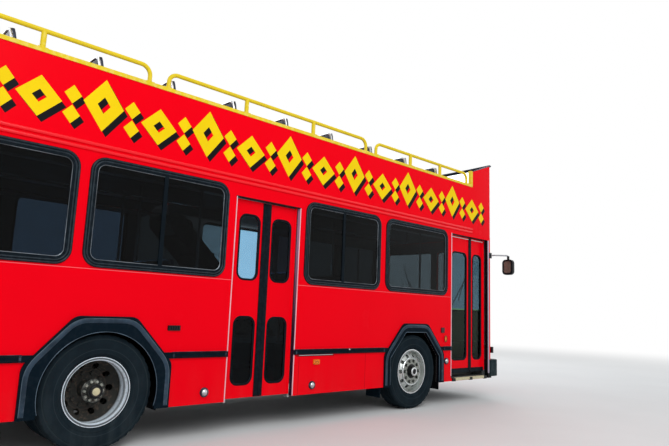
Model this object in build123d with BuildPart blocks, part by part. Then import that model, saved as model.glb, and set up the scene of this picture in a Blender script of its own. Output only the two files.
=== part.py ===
from build123d import *
import math
import os

os.makedirs("parts", exist_ok=True)

# Open top double decker bus, in millimetres.
# +X is forward, +Y is the bus's left, +Z is up. The origin lies on the ground, midway
# between the two bumpers and the two sides. The doors are on the right, at -Y.
# A station is a distance forward of the rear axle.

# Driving dimensions
WHEELBASE = 4370
FRONT_OVERHANG = 2165
REAR_OVERHANG = 2815
BODY_WIDTH = 2440
HALF_WIDTH = BODY_WIDTH / 2
WALL = 50
PARAPET_WALL = 40
SKIRT_BOTTOM = 326
FLOOR_TOP = 880
FLOOR_THICKNESS = 50
DECK_UNDERSIDE = 2600
DECK_THICKNESS = 90
DECK_TOP = DECK_UNDERSIDE + DECK_THICKNESS
PARAPET_TOP = DECK_TOP + 676
SEAT_GAP = 0.3

# Stations of the two body ends
FRONT_CORNER_STATION = WHEELBASE + 2008
FRONT_POST_STATION = WHEELBASE + 1888
REAR_FACE_STATION = -2720
REAR_POST_LENGTH = 120
FRONT_BULGE = 90
CORNER_RADIUS = 90

# Wheels and axles
TYRE_RADIUS = 500
TYRE_WIDTH = 280
RIM_SEAT_RADIUS = 286
RIM_FLANGE_RADIUS = 298.5
RIM_WIDTH = 200
RIM_THICKNESS = 12
TYRE_INSET = 25
WHEEL_PLANE_Y = HALF_WIDTH - TYRE_INSET - TYRE_WIDTH / 2
TWIN_SPACING = 335
KINGPIN_INSET = 160
KINGPIN_RADIUS = 24
RUNNING_CLEARANCE = 0.05
SPINDLE_RADIUS = 38
STEERING_ARM = 220

# Windows, all of one height
WINDOW_BOTTOM = 1577
WINDOW_TOP = DECK_UNDERSIDE - 29
WINDOW_RADIUS = 140
RUBBER_WIDTH = 65
RUBBER_PROUD = 10
GLASS_LAP = 15
GLASS_THICKNESS = 8
WINDOW_BAR = 40

# Doors
MID_DOOR_REAR = 1283
MID_DOOR_FRONT = 2167
MID_DOOR_TOP = DECK_UNDERSIDE - 143
MID_DOOR_INSET = 50
FRONT_DOOR_REAR = WHEELBASE + 860
FRONT_DOOR_TOP = DECK_UNDERSIDE - 55
FRONT_DOOR_BOTTOM = 450
FRONT_SILL_TOP = 365
FRONT_DOOR_INSET = 80
LEAF_THICKNESS = 35
LEAF_GAP = 8
LEAF_HINGE_GAP = 22
LEAF_BORDER = 70
STEP_TREAD = 215

# Wheel arches
ARCH_OUTER_HALF = 655
ARCH_OUTER_SHOULDER = 740
ARCH_OUTER_TOP_HALF = 270
ARCH_TOP = 1155
ARCH_INNER_HALF = 540
ARCH_INNER_SHOULDER = 700
ARCH_INNER_TOP_HALF = 225
ARCH_INNER_TOP = 1035
ARCH_LIP_RADIUS = 535
ARCH_TRIM_PROUD = 22
ARCH_TRIM_FILLET = 120
ARCH_FOOT_HALF = 510
ARCH_LAP = 20
LINER_THICKNESS = 25
LINER_BOTTOM = 340

# Places worked out from the above
LENGTH = WHEELBASE + FRONT_OVERHANG + REAR_OVERHANG
REAR_AXLE_X = REAR_OVERHANG - LENGTH / 2
FRONT_AXLE_X = REAR_AXLE_X + WHEELBASE
FLOOR_BOTTOM = FLOOR_TOP - FLOOR_THICKNESS
KINGPIN_Y = WHEEL_PLANE_Y - KINGPIN_INSET
AXLE_Z = TYRE_RADIUS
FRONT_CORNER_X = REAR_AXLE_X + FRONT_CORNER_STATION
FRONT_POST_X = REAR_AXLE_X + FRONT_POST_STATION
REAR_FACE_X = REAR_AXLE_X + REAR_FACE_STATION
REAR_POST_X = REAR_FACE_X + REAR_POST_LENGTH
FRONT_RADIUS = (HALF_WIDTH**2 + FRONT_BULGE**2) / (2 * FRONT_BULGE)
FRONT_CENTRE_X = FRONT_CORNER_X + FRONT_BULGE - FRONT_RADIUS


def at(station):
    """X of a station, which is measured forward of the rear axle."""
    return REAR_AXLE_X + station


def save(part, node):
    """Label a finished piece and write its STEP file."""
    part.label = node
    export_step(part, f"parts/{node}.step")


def span(low_u, high_u, low_v, high_v, radius=0, mode=Mode.ADD):
    """Rectangle between two corners of the sketch plane, with rounded corners if asked."""
    with Locations(((low_u + high_u) / 2, (low_v + high_v) / 2)):
        if radius > 0:
            RectangleRounded(high_u - low_u, high_v - low_v, radius, mode=mode)
        else:
            Rectangle(high_u - low_u, high_v - low_v, mode=mode)


def block(low, high, mode=Mode.ADD):
    """Box between two corners."""
    middle = [(a + b) / 2 for a, b in zip(low, high)]
    with Locations(tuple(middle)):
        Box(high[0] - low[0], high[1] - low[1], high[2] - low[2], mode=mode)


def side_plane(side, distance):
    """Upright plane at a distance outboard. Sketch x is forward and sketch y is up."""
    return Plane(origin=(0, side * distance, 0), x_dir=(1, 0, 0), z_dir=(0, -1, 0))


def inward(side, thickness):
    """Extrusion amount on a side plane that goes towards the bus's middle."""
    return side * thickness


# Side windows: rear station, front station, station of the upright bar or None
RIGHT_WINDOWS = [
    (-2600, -1915, None),
    (-1820, -361, -1090),
    (-273, 1183, 455),
    (2261, WHEELBASE - 773, 2899),
    (WHEELBASE - 670, WHEELBASE + 753, None),
]
LEFT_WINDOWS = [
    (-2600, -1915, None),
    (-1820, -361, -1090),
    (-273, 1183, 455),
    (1283, 2167, None),
    (2261, WHEELBASE - 773, 2899),
    (WHEELBASE - 670, WHEELBASE + 753, None),
    (WHEELBASE + 860, WHEELBASE + 1800, WHEELBASE + 1330),
]
AXLE_STATIONS = [0, WHEELBASE]


def arch_polyline(centre_x, half, shoulder, top_half, top, bottom, mode=Mode.ADD):
    """Closed eight-sided arch outline in the active sketch."""
    with BuildLine() as outline:
        Polyline(
            (centre_x - half, bottom),
            (centre_x - half, shoulder),
            (centre_x - top_half, top),
            (centre_x + top_half, top),
            (centre_x + half, shoulder),
            (centre_x + half, bottom),
            close=True,
        )
    make_face(outline.edges(), mode=mode)


def build_side(side, windows, doors):
    """One lower side wall with its windows, wheel arches and door openings."""
    with BuildPart() as wall:
        with BuildSketch(side_plane(side, HALF_WIDTH)) as outline:
            span(REAR_POST_X, FRONT_POST_X, SKIRT_BOTTOM, DECK_UNDERSIDE)
            inset = RUBBER_WIDTH - 2 * GLASS_LAP
            for rear, front, _ in windows:
                span(at(rear) + inset, at(front) - inset, WINDOW_BOTTOM + inset,
                     WINDOW_TOP - inset, WINDOW_RADIUS - inset, Mode.SUBTRACT)
            for rear, front, bottom, top in doors:
                span(at(rear), at(front), bottom, top, mode=Mode.SUBTRACT)
        extrude(amount=inward(side, WALL))
        for station in AXLE_STATIONS:
            with BuildSketch(side_plane(side, HALF_WIDTH)):
                arch_polyline(at(station), ARCH_INNER_HALF + ARCH_LAP, ARCH_INNER_SHOULDER,
                              ARCH_INNER_TOP_HALF + ARCH_LAP / 2, ARCH_INNER_TOP + ARCH_LAP, 0)
            extrude(amount=inward(side, WALL), mode=Mode.SUBTRACT)
    return wall.part


RIGHT_DOORS = [
    # rear station, front station, bottom, top
    (MID_DOOR_REAR, MID_DOOR_FRONT, 0, MID_DOOR_TOP),
    (FRONT_DOOR_REAR, FRONT_POST_STATION + 1, FRONT_SILL_TOP, FRONT_DOOR_TOP),
]

save(build_side(-1, RIGHT_WINDOWS, RIGHT_DOORS), "side_right")
save(build_side(1, LEFT_WINDOWS, []), "side_left")


# Rubber frames round the side windows, each with its upright bar, and the panes behind them

def build_frames(side, windows):
    """Rubber window frames of one side, standing proud of the wall."""
    with BuildPart() as frames:
        with BuildSketch(side_plane(side, HALF_WIDTH)):
            for rear, front, bar in windows:
                span(at(rear), at(front), WINDOW_BOTTOM, WINDOW_TOP, WINDOW_RADIUS)
                span(at(rear) + RUBBER_WIDTH, at(front) - RUBBER_WIDTH,
                     WINDOW_BOTTOM + RUBBER_WIDTH, WINDOW_TOP - RUBBER_WIDTH,
                     WINDOW_RADIUS - RUBBER_WIDTH, Mode.SUBTRACT)
                if bar is not None:
                    span(at(bar) - WINDOW_BAR / 2, at(bar) + WINDOW_BAR / 2,
                         WINDOW_BOTTOM + RUBBER_WIDTH / 2, WINDOW_TOP - RUBBER_WIDTH / 2)
        extrude(amount=-inward(side, RUBBER_PROUD))
    return frames.part


def build_panes(side, windows):
    """Window panes of one side, lapped by the rubber frames."""
    inset = RUBBER_WIDTH - GLASS_LAP
    with BuildPart() as panes:
        with BuildSketch(side_plane(side, HALF_WIDTH)):
            for rear, front, _ in windows:
                span(at(rear) + inset, at(front) - inset, WINDOW_BOTTOM + inset,
                     WINDOW_TOP - inset, WINDOW_RADIUS - inset)
        extrude(amount=inward(side, GLASS_THICKNESS))
    return panes.part


side_frames = [build_frames(-1, RIGHT_WINDOWS), build_frames(1, LEFT_WINDOWS)]
side_panes = [build_panes(-1, RIGHT_WINDOWS), build_panes(1, LEFT_WINDOWS)]


# Front end: a bowed wall with rounded corner posts

def front_plan(thickness, back_x):
    """Plan of the bowed front with a return along each side, in the active sketch."""
    with BuildLine() as outline:
        Polyline(
            (FRONT_CORNER_X, -HALF_WIDTH),
            (back_x, -HALF_WIDTH),
            (back_x, -HALF_WIDTH + thickness),
            (FRONT_CORNER_X - thickness, -HALF_WIDTH + thickness),
        )
        ThreePointArc(
            (FRONT_CORNER_X - thickness, -HALF_WIDTH + thickness),
            (FRONT_CORNER_X + FRONT_BULGE - thickness, 0),
            (FRONT_CORNER_X - thickness, HALF_WIDTH - thickness),
        )
        Polyline(
            (FRONT_CORNER_X - thickness, HALF_WIDTH - thickness),
            (back_x, HALF_WIDTH - thickness),
            (back_x, HALF_WIDTH),
            (FRONT_CORNER_X, HALF_WIDTH),
        )
        ThreePointArc(
            (FRONT_CORNER_X, HALF_WIDTH),
            (FRONT_CORNER_X + FRONT_BULGE, 0),
            (FRONT_CORNER_X, -HALF_WIDTH),
        )
    make_face(outline.edges())


SCREEN_BOTTOM = 1330
SCREEN_TOP = DECK_UNDERSIDE - 130
SCREEN_HALF = HALF_WIDTH - 135
SCREEN_PILLAR = 60
SCREEN_RADIUS = 110
SCREEN_LAP = 30
HEADLAMP_Z = 800
HEADLAMP_Y = [HALF_WIDTH - 320, HALF_WIDTH - 530]
HEADLAMP_RADIUS = 88
FRONT_TURN_LAMP_Y = HALF_WIDTH - 160
TURN_LAMP_RADIUS = 45

with BuildPart() as front_wall:
    with BuildSketch(Plane.XY.offset(SKIRT_BOTTOM)):
        front_plan(WALL, FRONT_POST_X)
    extrude(amount=DECK_UNDERSIDE - SKIRT_BOTTOM)
    corners = front_wall.edges().filter_by(Axis.Z).filter_by(
        lambda e: abs(e.center().X - FRONT_CORNER_X) < 1 and abs(e.center().Y) > HALF_WIDTH - 1)
    fillet(corners, CORNER_RADIUS)
    with BuildSketch(Plane.YZ.offset(FRONT_CORNER_X - 3 * WALL)):
        inset = RUBBER_WIDTH - 2 * GLASS_LAP
        for low, high in [(-SCREEN_HALF, -SCREEN_PILLAR / 2), (SCREEN_PILLAR / 2, SCREEN_HALF)]:
            span(low + inset, high - inset, SCREEN_BOTTOM + inset, SCREEN_TOP - inset,
                 SCREEN_RADIUS - inset)
        for y in HEADLAMP_Y:
            with Locations((y, HEADLAMP_Z), (-y, HEADLAMP_Z)):
                Circle(HEADLAMP_RADIUS + SEAT_GAP)
        with Locations((FRONT_TURN_LAMP_Y, HEADLAMP_Z), (-FRONT_TURN_LAMP_Y, HEADLAMP_Z)):
            Circle(TURN_LAMP_RADIUS + SEAT_GAP)
    extrude(amount=6 * WALL, mode=Mode.SUBTRACT)
save(front_wall.part, "front_wall")


def front_skin(outer_radius, inner_radius, bottom, top):
    """Upright slice of the bowed front between two radii, in the active part."""
    with BuildSketch(Plane.XY.offset(bottom)) as ring:
        with Locations((FRONT_CENTRE_X, 0)):
            Circle(outer_radius)
            Circle(inner_radius, mode=Mode.SUBTRACT)
    extrude(ring.sketch, amount=top - bottom)


with BuildPart() as windscreen_frame:
    front_skin(FRONT_RADIUS + SEAT_GAP + RUBBER_PROUD, FRONT_RADIUS + SEAT_GAP,
               SCREEN_BOTTOM, SCREEN_TOP)
    with BuildSketch(Plane.YZ.offset(FRONT_CORNER_X - 3 * WALL)):
        for low, high in [(-SCREEN_HALF, SCREEN_PILLAR / 2), (-SCREEN_PILLAR / 2, SCREEN_HALF)]:
            span(low, high, SCREEN_BOTTOM, SCREEN_TOP, SCREEN_RADIUS)
        for low, high in [(-SCREEN_HALF, -SCREEN_PILLAR / 2), (SCREEN_PILLAR / 2, SCREEN_HALF)]:
            span(low + RUBBER_WIDTH, high - RUBBER_WIDTH + SCREEN_LAP, SCREEN_BOTTOM + RUBBER_WIDTH,
                 SCREEN_TOP - RUBBER_WIDTH, SCREEN_RADIUS - RUBBER_WIDTH, Mode.SUBTRACT)
    extrude(amount=8 * WALL, mode=Mode.INTERSECT)

with BuildPart() as windscreen:
    front_skin(FRONT_RADIUS, FRONT_RADIUS - GLASS_THICKNESS, SCREEN_BOTTOM, SCREEN_TOP)
    with BuildSketch(Plane.YZ.offset(FRONT_CORNER_X - 3 * WALL)):
        inset = RUBBER_WIDTH - GLASS_LAP
        for low, high in [(-SCREEN_HALF, -SCREEN_PILLAR / 2), (SCREEN_PILLAR / 2, SCREEN_HALF)]:
            span(low + inset, high - inset, SCREEN_BOTTOM + inset, SCREEN_TOP - inset,
                 SCREEN_RADIUS - inset)
    extrude(amount=8 * WALL, mode=Mode.INTERSECT)


# Rear end: a flat wall with rounded corner posts, a window and the engine door opening

ENGINE_DOOR_HALF = 850
ENGINE_DOOR_BOTTOM = 640
ENGINE_DOOR_TOP = 1330
ENGINE_DOOR_GAP = 8
REAR_WINDOW_HALF = 860


def rear_plan(thickness, front_x):
    """Plan of the rear end with a return along each side, in the active sketch."""
    with BuildLine() as outline:
        Polyline(
            (REAR_FACE_X, -HALF_WIDTH),
            (front_x, -HALF_WIDTH),
            (front_x, -HALF_WIDTH + thickness),
            (REAR_FACE_X + thickness, -HALF_WIDTH + thickness),
            (REAR_FACE_X + thickness, HALF_WIDTH - thickness),
            (front_x, HALF_WIDTH - thickness),
            (front_x, HALF_WIDTH),
            (REAR_FACE_X, HALF_WIDTH),
            close=True,
        )
    make_face(outline.edges())


# The engine door's hinge: barrels outside the rear face, some on the door, some on the wall
HINGE_RADIUS = 11.7
HINGE_X = REAR_FACE_X - HINGE_RADIUS - SEAT_GAP
HINGE_Z = ENGINE_DOOR_TOP + ENGINE_DOOR_GAP / 2
HINGE_STRAP = 44
HINGE_LENGTH = 90
HINGE_DOOR_Y = [-620, 620]
HINGE_WALL_Y = [-620 - HINGE_LENGTH - 1, 620 + HINGE_LENGTH + 1]


def hinge_barrels(places, strap_low, strap_high):
    """Hinge barrels at some distances across the bus, each with its strap, in the active part."""
    for y in places:
        with Locations(Location((HINGE_X, y, HINGE_Z), (90, 0, 0))):
            Cylinder(HINGE_RADIUS, HINGE_LENGTH)
        block((HINGE_X, y - HINGE_LENGTH / 2, strap_low), (REAR_FACE_X, y + HINGE_LENGTH / 2,
                                                           strap_high))


with BuildPart() as rear_wall:
    with BuildSketch(Plane.XY.offset(SKIRT_BOTTOM)):
        rear_plan(WALL, REAR_POST_X)
    extrude(amount=DECK_UNDERSIDE - SKIRT_BOTTOM)
    corners = rear_wall.edges().filter_by(Axis.Z).filter_by(
        lambda e: abs(e.center().X - REAR_FACE_X) < 1 and abs(e.center().Y) > HALF_WIDTH - 1)
    fillet(corners, CORNER_RADIUS)
    with BuildSketch(Plane.YZ.offset(REAR_FACE_X - 1)):
        inset = RUBBER_WIDTH - 2 * GLASS_LAP
        span(-REAR_WINDOW_HALF + inset, REAR_WINDOW_HALF - inset, WINDOW_BOTTOM + inset,
             WINDOW_TOP - inset, WINDOW_RADIUS - inset)
        span(-ENGINE_DOOR_HALF - ENGINE_DOOR_GAP, ENGINE_DOOR_HALF + ENGINE_DOOR_GAP,
             ENGINE_DOOR_BOTTOM - ENGINE_DOOR_GAP, ENGINE_DOOR_TOP + ENGINE_DOOR_GAP)
    extrude(amount=WALL + 2, mode=Mode.SUBTRACT)
    hinge_barrels(HINGE_WALL_Y, HINGE_Z, HINGE_Z + HINGE_STRAP)
save(rear_wall.part, "rear_wall")

with BuildPart() as rear_window_frame:
    with BuildSketch(Plane.YZ.offset(REAR_FACE_X)):
        span(-REAR_WINDOW_HALF, REAR_WINDOW_HALF, WINDOW_BOTTOM, WINDOW_TOP, WINDOW_RADIUS)
        span(-REAR_WINDOW_HALF + RUBBER_WIDTH, REAR_WINDOW_HALF - RUBBER_WIDTH,
             WINDOW_BOTTOM + RUBBER_WIDTH, WINDOW_TOP - RUBBER_WIDTH,
             WINDOW_RADIUS - RUBBER_WIDTH, Mode.SUBTRACT)
    extrude(amount=-RUBBER_PROUD)

with BuildPart() as glass_rear:
    with BuildSketch(Plane.YZ.offset(REAR_FACE_X)):
        inset = RUBBER_WIDTH - GLASS_LAP
        span(-REAR_WINDOW_HALF + inset, REAR_WINDOW_HALF - inset, WINDOW_BOTTOM + inset,
             WINDOW_TOP - inset, WINDOW_RADIUS - inset)
    extrude(amount=GLASS_THICKNESS)

with BuildPart() as window_frames:
    for piece in side_frames + [windscreen_frame.part, rear_window_frame.part]:
        add(piece)
save(window_frames.part, "window_frames")

with BuildPart() as window_panes:
    for piece in side_panes + [windscreen.part, glass_rear.part]:
        add(piece)
save(window_panes.part, "window_panes")

# Engine door, hinged along its top edge, with a louvred vent
VENT_SLOTS = 9
VENT_SLOT_HEIGHT = 22
VENT_SLOT_PITCH = 48
VENT_HALF = 560
ENGINE_DOOR_THICKNESS = 40
with BuildPart() as engine_door:
    block((REAR_FACE_X, -ENGINE_DOOR_HALF, ENGINE_DOOR_BOTTOM),
          (REAR_FACE_X + ENGINE_DOOR_THICKNESS, ENGINE_DOOR_HALF, ENGINE_DOOR_TOP))
    with BuildSketch(Plane.YZ.offset(REAR_FACE_X - 1)):
        with Locations((0, (ENGINE_DOOR_BOTTOM + ENGINE_DOOR_TOP) / 2)):
            with GridLocations(0, VENT_SLOT_PITCH, 1, VENT_SLOTS):
                Rectangle(2 * VENT_HALF, VENT_SLOT_HEIGHT)
    extrude(amount=ENGINE_DOOR_THICKNESS + 2, mode=Mode.SUBTRACT)
    hinge_barrels(HINGE_DOOR_Y, HINGE_Z - HINGE_STRAP, HINGE_Z)
save(engine_door.part, "engine_door")


# Upper deck, parapets and their caps

STAIRWELL_REAR = WHEELBASE - 2950
STAIRWELL_FRONT = WHEELBASE - 1040
STAIRWELL_INNER = 520
STAIRWELL_OUTER = HALF_WIDTH - 90
RAISED_STATION = WHEELBASE + 1415
RAISED_LOW = PARAPET_TOP + 254
RAISED_HIGH = PARAPET_TOP + 479

with BuildPart() as upper_deck:
    with BuildSketch(Plane.XY.offset(DECK_UNDERSIDE)):
        edge = HALF_WIDTH - PARAPET_WALL
        span(REAR_FACE_X + PARAPET_WALL, FRONT_CORNER_X - PARAPET_WALL, -edge, edge)
        span(at(STAIRWELL_REAR), at(STAIRWELL_FRONT), STAIRWELL_INNER, STAIRWELL_OUTER,
             mode=Mode.SUBTRACT)
    extrude(amount=DECK_THICKNESS)
save(upper_deck.part, "upper_deck")

RIB_SPANS = [(DECK_UNDERSIDE + 6, DECK_UNDERSIDE + 36), (DECK_UNDERSIDE + 56, DECK_UNDERSIDE + 86)]
RIB_PROUD = 12
with BuildPart() as parapet_sides:
    for side in (-1, 1):
        with BuildSketch(side_plane(side, HALF_WIDTH)):
            span(REAR_POST_X, at(RAISED_STATION), DECK_UNDERSIDE, PARAPET_TOP)
        extrude(amount=inward(side, PARAPET_WALL))
        with BuildSketch(side_plane(side, HALF_WIDTH)):
            for low, high in RIB_SPANS:
                span(REAR_POST_X, at(RAISED_STATION), low, high)
        extrude(amount=-inward(side, RIB_PROUD))
save(parapet_sides.part, "parapet_sides")

with BuildPart() as parapet_front:
    with BuildSketch(Plane.XY.offset(DECK_UNDERSIDE)):
        front_plan(PARAPET_WALL, at(RAISED_STATION))
    extrude(amount=RAISED_HIGH - DECK_UNDERSIDE)
    corners = parapet_front.edges().filter_by(Axis.Z).filter_by(
        lambda e: abs(e.center().X - FRONT_CORNER_X) < 1 and abs(e.center().Y) > HALF_WIDTH - 1)
    fillet(corners, CORNER_RADIUS)
    with BuildSketch(Plane.XZ):
        with BuildLine():
            Polyline(
                (at(RAISED_STATION) - 1, RAISED_LOW),
                (at(RAISED_STATION) - 1, RAISED_HIGH + 1),
                (FRONT_CORNER_X, RAISED_HIGH + 1),
                (FRONT_CORNER_X, RAISED_HIGH),
                close=True,
            )
        make_face()
    extrude(amount=BODY_WIDTH, both=True, mode=Mode.SUBTRACT)
save(parapet_front.part, "parapet_front")

with BuildPart() as parapet_rear:
    with BuildSketch(Plane.XY.offset(DECK_UNDERSIDE)):
        rear_plan(PARAPET_WALL, REAR_POST_X)
    extrude(amount=PARAPET_TOP - DECK_UNDERSIDE)
    corners = parapet_rear.edges().filter_by(Axis.Z).filter_by(
        lambda e: abs(e.center().X - REAR_FACE_X) < 1 and abs(e.center().Y) > HALF_WIDTH - 1)
    fillet(corners, CORNER_RADIUS)
save(parapet_rear.part, "parapet_rear")

CAP_HEIGHT = 38
CAP_OVERHANG = 8
with BuildPart() as parapet_caps:
    for side in (-1, 1):
        outer = side * (HALF_WIDTH + CAP_OVERHANG)
        inner = side * (HALF_WIDTH - PARAPET_WALL - CAP_OVERHANG)
        block((REAR_POST_X, min(outer, inner), PARAPET_TOP),
              (at(RAISED_STATION), max(outer, inner), PARAPET_TOP + CAP_HEIGHT))
    with BuildSketch(Plane.XY.offset(PARAPET_TOP)):
        rear_plan(PARAPET_WALL, REAR_POST_X - SEAT_GAP)
    extrude(amount=CAP_HEIGHT)
save(parapet_caps.part, "parapet_caps")

# Guard rails: bent tubes on posts that stand on the parapet caps
RAIL_RADIUS = 21
RAIL_Z = PARAPET_TOP + 199
RAIL_BEND = 95
POST_RADIUS = 24
RAIL_SECTIONS = [
    # rear station, front station, stations of the posts between
    (-2560, 200, [-1780, -775]),
    (400, 3270, [1340, 2330]),
    (WHEELBASE - 900, WHEELBASE + 1280, [WHEELBASE - 156, WHEELBASE + 560]),
]
REAR_RAIL_HALF = HALF_WIDTH - 220
STAIR_RAIL_Z = DECK_TOP + 870
STAIR_RAIL_MARGIN = 40
STAIR_RAIL_START = 60
STAIR_GATE_MARGIN = 20
RAIL_Y = HALF_WIDTH - PARAPET_WALL / 2
RAIL_FOOT = PARAPET_TOP + CAP_HEIGHT


def rail(start, end, top, bend):
    """Hoop of tube from one foot up, along and down to the other, in the active part."""
    rise = Vector(0, 0, top - start[2])
    with BuildLine() as path:
        FilletPolyline(start, Vector(*start) + rise, Vector(*end) + rise, end, radius=bend)
    with BuildSketch(Plane(origin=start, z_dir=(0, 0, 1))) as section:
        Circle(RAIL_RADIUS)
    sweep(section.sketch, path=path.wires()[0])


with BuildPart() as guard_rails:
    for side in (-1, 1):
        for rear, front, posts in RAIL_SECTIONS:
            rail((at(rear), side * RAIL_Y, RAIL_FOOT), (at(front), side * RAIL_Y, RAIL_FOOT),
                 RAIL_Z, RAIL_BEND)
            for station in posts:
                with Locations((at(station), side * RAIL_Y, RAIL_FOOT)):
                    Cylinder(POST_RADIUS, RAIL_Z - RAIL_FOOT,
                             align=(Align.CENTER, Align.CENTER, Align.MIN))
    rear_rail_x = REAR_FACE_X + PARAPET_WALL / 2
    rail((rear_rail_x, -REAR_RAIL_HALF, RAIL_FOOT), (rear_rail_x, REAR_RAIL_HALF, RAIL_FOOT),
         RAIL_Z, RAIL_BEND)
    stair_rail_y = STAIRWELL_INNER - STAIR_RAIL_MARGIN
    gate_x = at(STAIRWELL_FRONT) + STAIR_RAIL_MARGIN
    rail((at(STAIRWELL_REAR) + STAIR_RAIL_START, stair_rail_y, DECK_TOP),
         (gate_x, stair_rail_y, DECK_TOP), STAIR_RAIL_Z, RAIL_BEND)
    rail((gate_x, STAIRWELL_INNER + STAIR_RAIL_START, DECK_TOP),
         (gate_x, STAIRWELL_OUTER - STAIR_GATE_MARGIN, DECK_TOP), STAIR_RAIL_Z, RAIL_BEND)
save(guard_rails.part, "guard_rails")


# Lower floor with its two stepwells and four wheel liners

MID_WELL_OUTER = HALF_WIDTH - MID_DOOR_INSET - LEAF_THICKNESS - LEAF_GAP
FRONT_WELL_OUTER = HALF_WIDTH - FRONT_DOOR_INSET - LEAF_THICKNESS - LEAF_GAP
STEPWELLS = [
    # rear station, front station, outboard edge of the lowest step, and of the end walls
    (MID_DOOR_REAR + 10, MID_DOOR_FRONT - 10, MID_WELL_OUTER, MID_WELL_OUTER),
    (FRONT_DOOR_REAR + 10, FRONT_POST_STATION - 10, HALF_WIDTH - WALL, FRONT_WELL_OUTER),
]
STEPWELL_DEPTH = 2 * STEP_TREAD
STEPWELL_WALL = 25
STEP_PLATE = 30
WELL_OUTER_Y = HALF_WIDTH - WALL
FLOOR_REAR = -1440
REAR_PLATFORM_TOP = 1200
LINER_HALF = 620
LINER_SHOULDER = 760
LINER_TOP_HALF = 260
LINER_TOP = 1090
LINER_SIDE_GAP = 30
LINER_INNER_Y = WHEEL_PLANE_Y - TWIN_SPACING - TYRE_WIDTH / 2 - LINER_SIDE_GAP
NOTCH_HALF = 290
NOTCH_RISE = 110

with BuildPart() as floor_lower:
    with BuildSketch(Plane.XY.offset(FLOOR_BOTTOM)):
        span(at(FLOOR_REAR), FRONT_POST_X, -WELL_OUTER_Y, WELL_OUTER_Y)
        span(FRONT_POST_X, FRONT_CORNER_X - WALL, -WELL_OUTER_Y, WELL_OUTER_Y)
        for rear, front, outer, wall_outer in STEPWELLS:
            span(at(rear) - STEPWELL_WALL, at(front) + STEPWELL_WALL, -WELL_OUTER_Y - 1,
                 -outer + STEPWELL_DEPTH, mode=Mode.SUBTRACT)
        for station in AXLE_STATIONS:
            for side in (-1, 1):
                low, high = sorted((side * (LINER_INNER_Y - LINER_THICKNESS),
                                    side * (WELL_OUTER_Y + 1)))
                reach = LINER_HALF + LINER_THICKNESS
                span(at(station) - reach, at(station) + reach, low, high, mode=Mode.SUBTRACT)
    extrude(amount=FLOOR_THICKNESS)
with BuildPart() as rear_platform:
    with BuildSketch(Plane.XZ):
        with BuildLine():
            inner_x = REAR_FACE_X + WALL
            top_z = REAR_PLATFORM_TOP
            Polyline(
                (at(FLOOR_REAR), FLOOR_BOTTOM),
                (at(FLOOR_REAR), top_z),
                (inner_x, top_z),
                (inner_x, top_z - STEP_PLATE),
                (at(FLOOR_REAR) - STEP_PLATE, top_z - STEP_PLATE),
                (at(FLOOR_REAR) - STEP_PLATE, FLOOR_BOTTOM),
                close=True,
            )
        make_face()
    extrude(amount=WELL_OUTER_Y, both=True)

with BuildPart() as floor:
    add(floor_lower.part)
    add(rear_platform.part)
save(floor.part, "floor_lower")

with BuildPart() as stepwells:
    for rear, front, outer, wall_outer in STEPWELLS:
        low_y = -outer
        sill = FRONT_SILL_TOP
        rise = (FLOOR_TOP - sill) / 2
        with BuildSketch(Plane.YZ.offset(at(rear))):
            with BuildLine():
                Polyline(
                    (low_y, sill - STEP_PLATE),
                    (low_y, sill),
                    (low_y + STEP_TREAD, sill),
                    (low_y + STEP_TREAD, sill + rise),
                    (low_y + 2 * STEP_TREAD, sill + rise),
                    (low_y + 2 * STEP_TREAD, FLOOR_BOTTOM),
                    (low_y + 2 * STEP_TREAD + STEP_PLATE, FLOOR_BOTTOM),
                    (low_y + 2 * STEP_TREAD + STEP_PLATE, sill + rise - STEP_PLATE),
                    (low_y + STEP_TREAD + STEP_PLATE, sill + rise - STEP_PLATE),
                    (low_y + STEP_TREAD + STEP_PLATE, sill - STEP_PLATE),
                    close=True,
                )
            make_face()
        extrude(amount=at(front) - at(rear))
        for wall_x in (at(rear) - STEPWELL_WALL, at(front)):
            block((wall_x, -wall_outer, sill - STEP_PLATE),
                  (wall_x + STEPWELL_WALL, low_y + STEPWELL_DEPTH, FLOOR_TOP))
            block((wall_x, -wall_outer, sill - STEP_PLATE),
                  (wall_x + STEPWELL_WALL, low_y + STEPWELL_DEPTH + STEP_PLATE, FLOOR_BOTTOM))
save(stepwells.part, "stepwells")


with BuildPart() as wheel_liners:
    for side in (-1, 1):
        for station in AXLE_STATIONS:
            with BuildSketch(side_plane(side, WELL_OUTER_Y)):
                reach = LINER_THICKNESS
                arch_polyline(at(station), LINER_HALF + reach, LINER_SHOULDER,
                              LINER_TOP_HALF + reach / 2, LINER_TOP + reach, LINER_BOTTOM)
            extrude(amount=inward(side, WELL_OUTER_Y - LINER_INNER_Y + LINER_THICKNESS))
            with BuildSketch(side_plane(side, WELL_OUTER_Y)):
                arch_polyline(at(station), LINER_HALF, LINER_SHOULDER, LINER_TOP_HALF,
                              LINER_TOP, LINER_BOTTOM - 1)
            extrude(amount=inward(side, WELL_OUTER_Y - LINER_INNER_Y), mode=Mode.SUBTRACT)
            with BuildSketch(side_plane(side, WELL_OUTER_Y)):
                span(at(station) - NOTCH_HALF, at(station) + NOTCH_HALF, LINER_BOTTOM - 1,
                     AXLE_Z + NOTCH_RISE)
            extrude(amount=inward(side, WELL_OUTER_Y), mode=Mode.SUBTRACT)
save(wheel_liners.part, "wheel_liners")


# Rubber trims of the wheel arches: eight-sided outside, round inside at the rear

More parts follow.
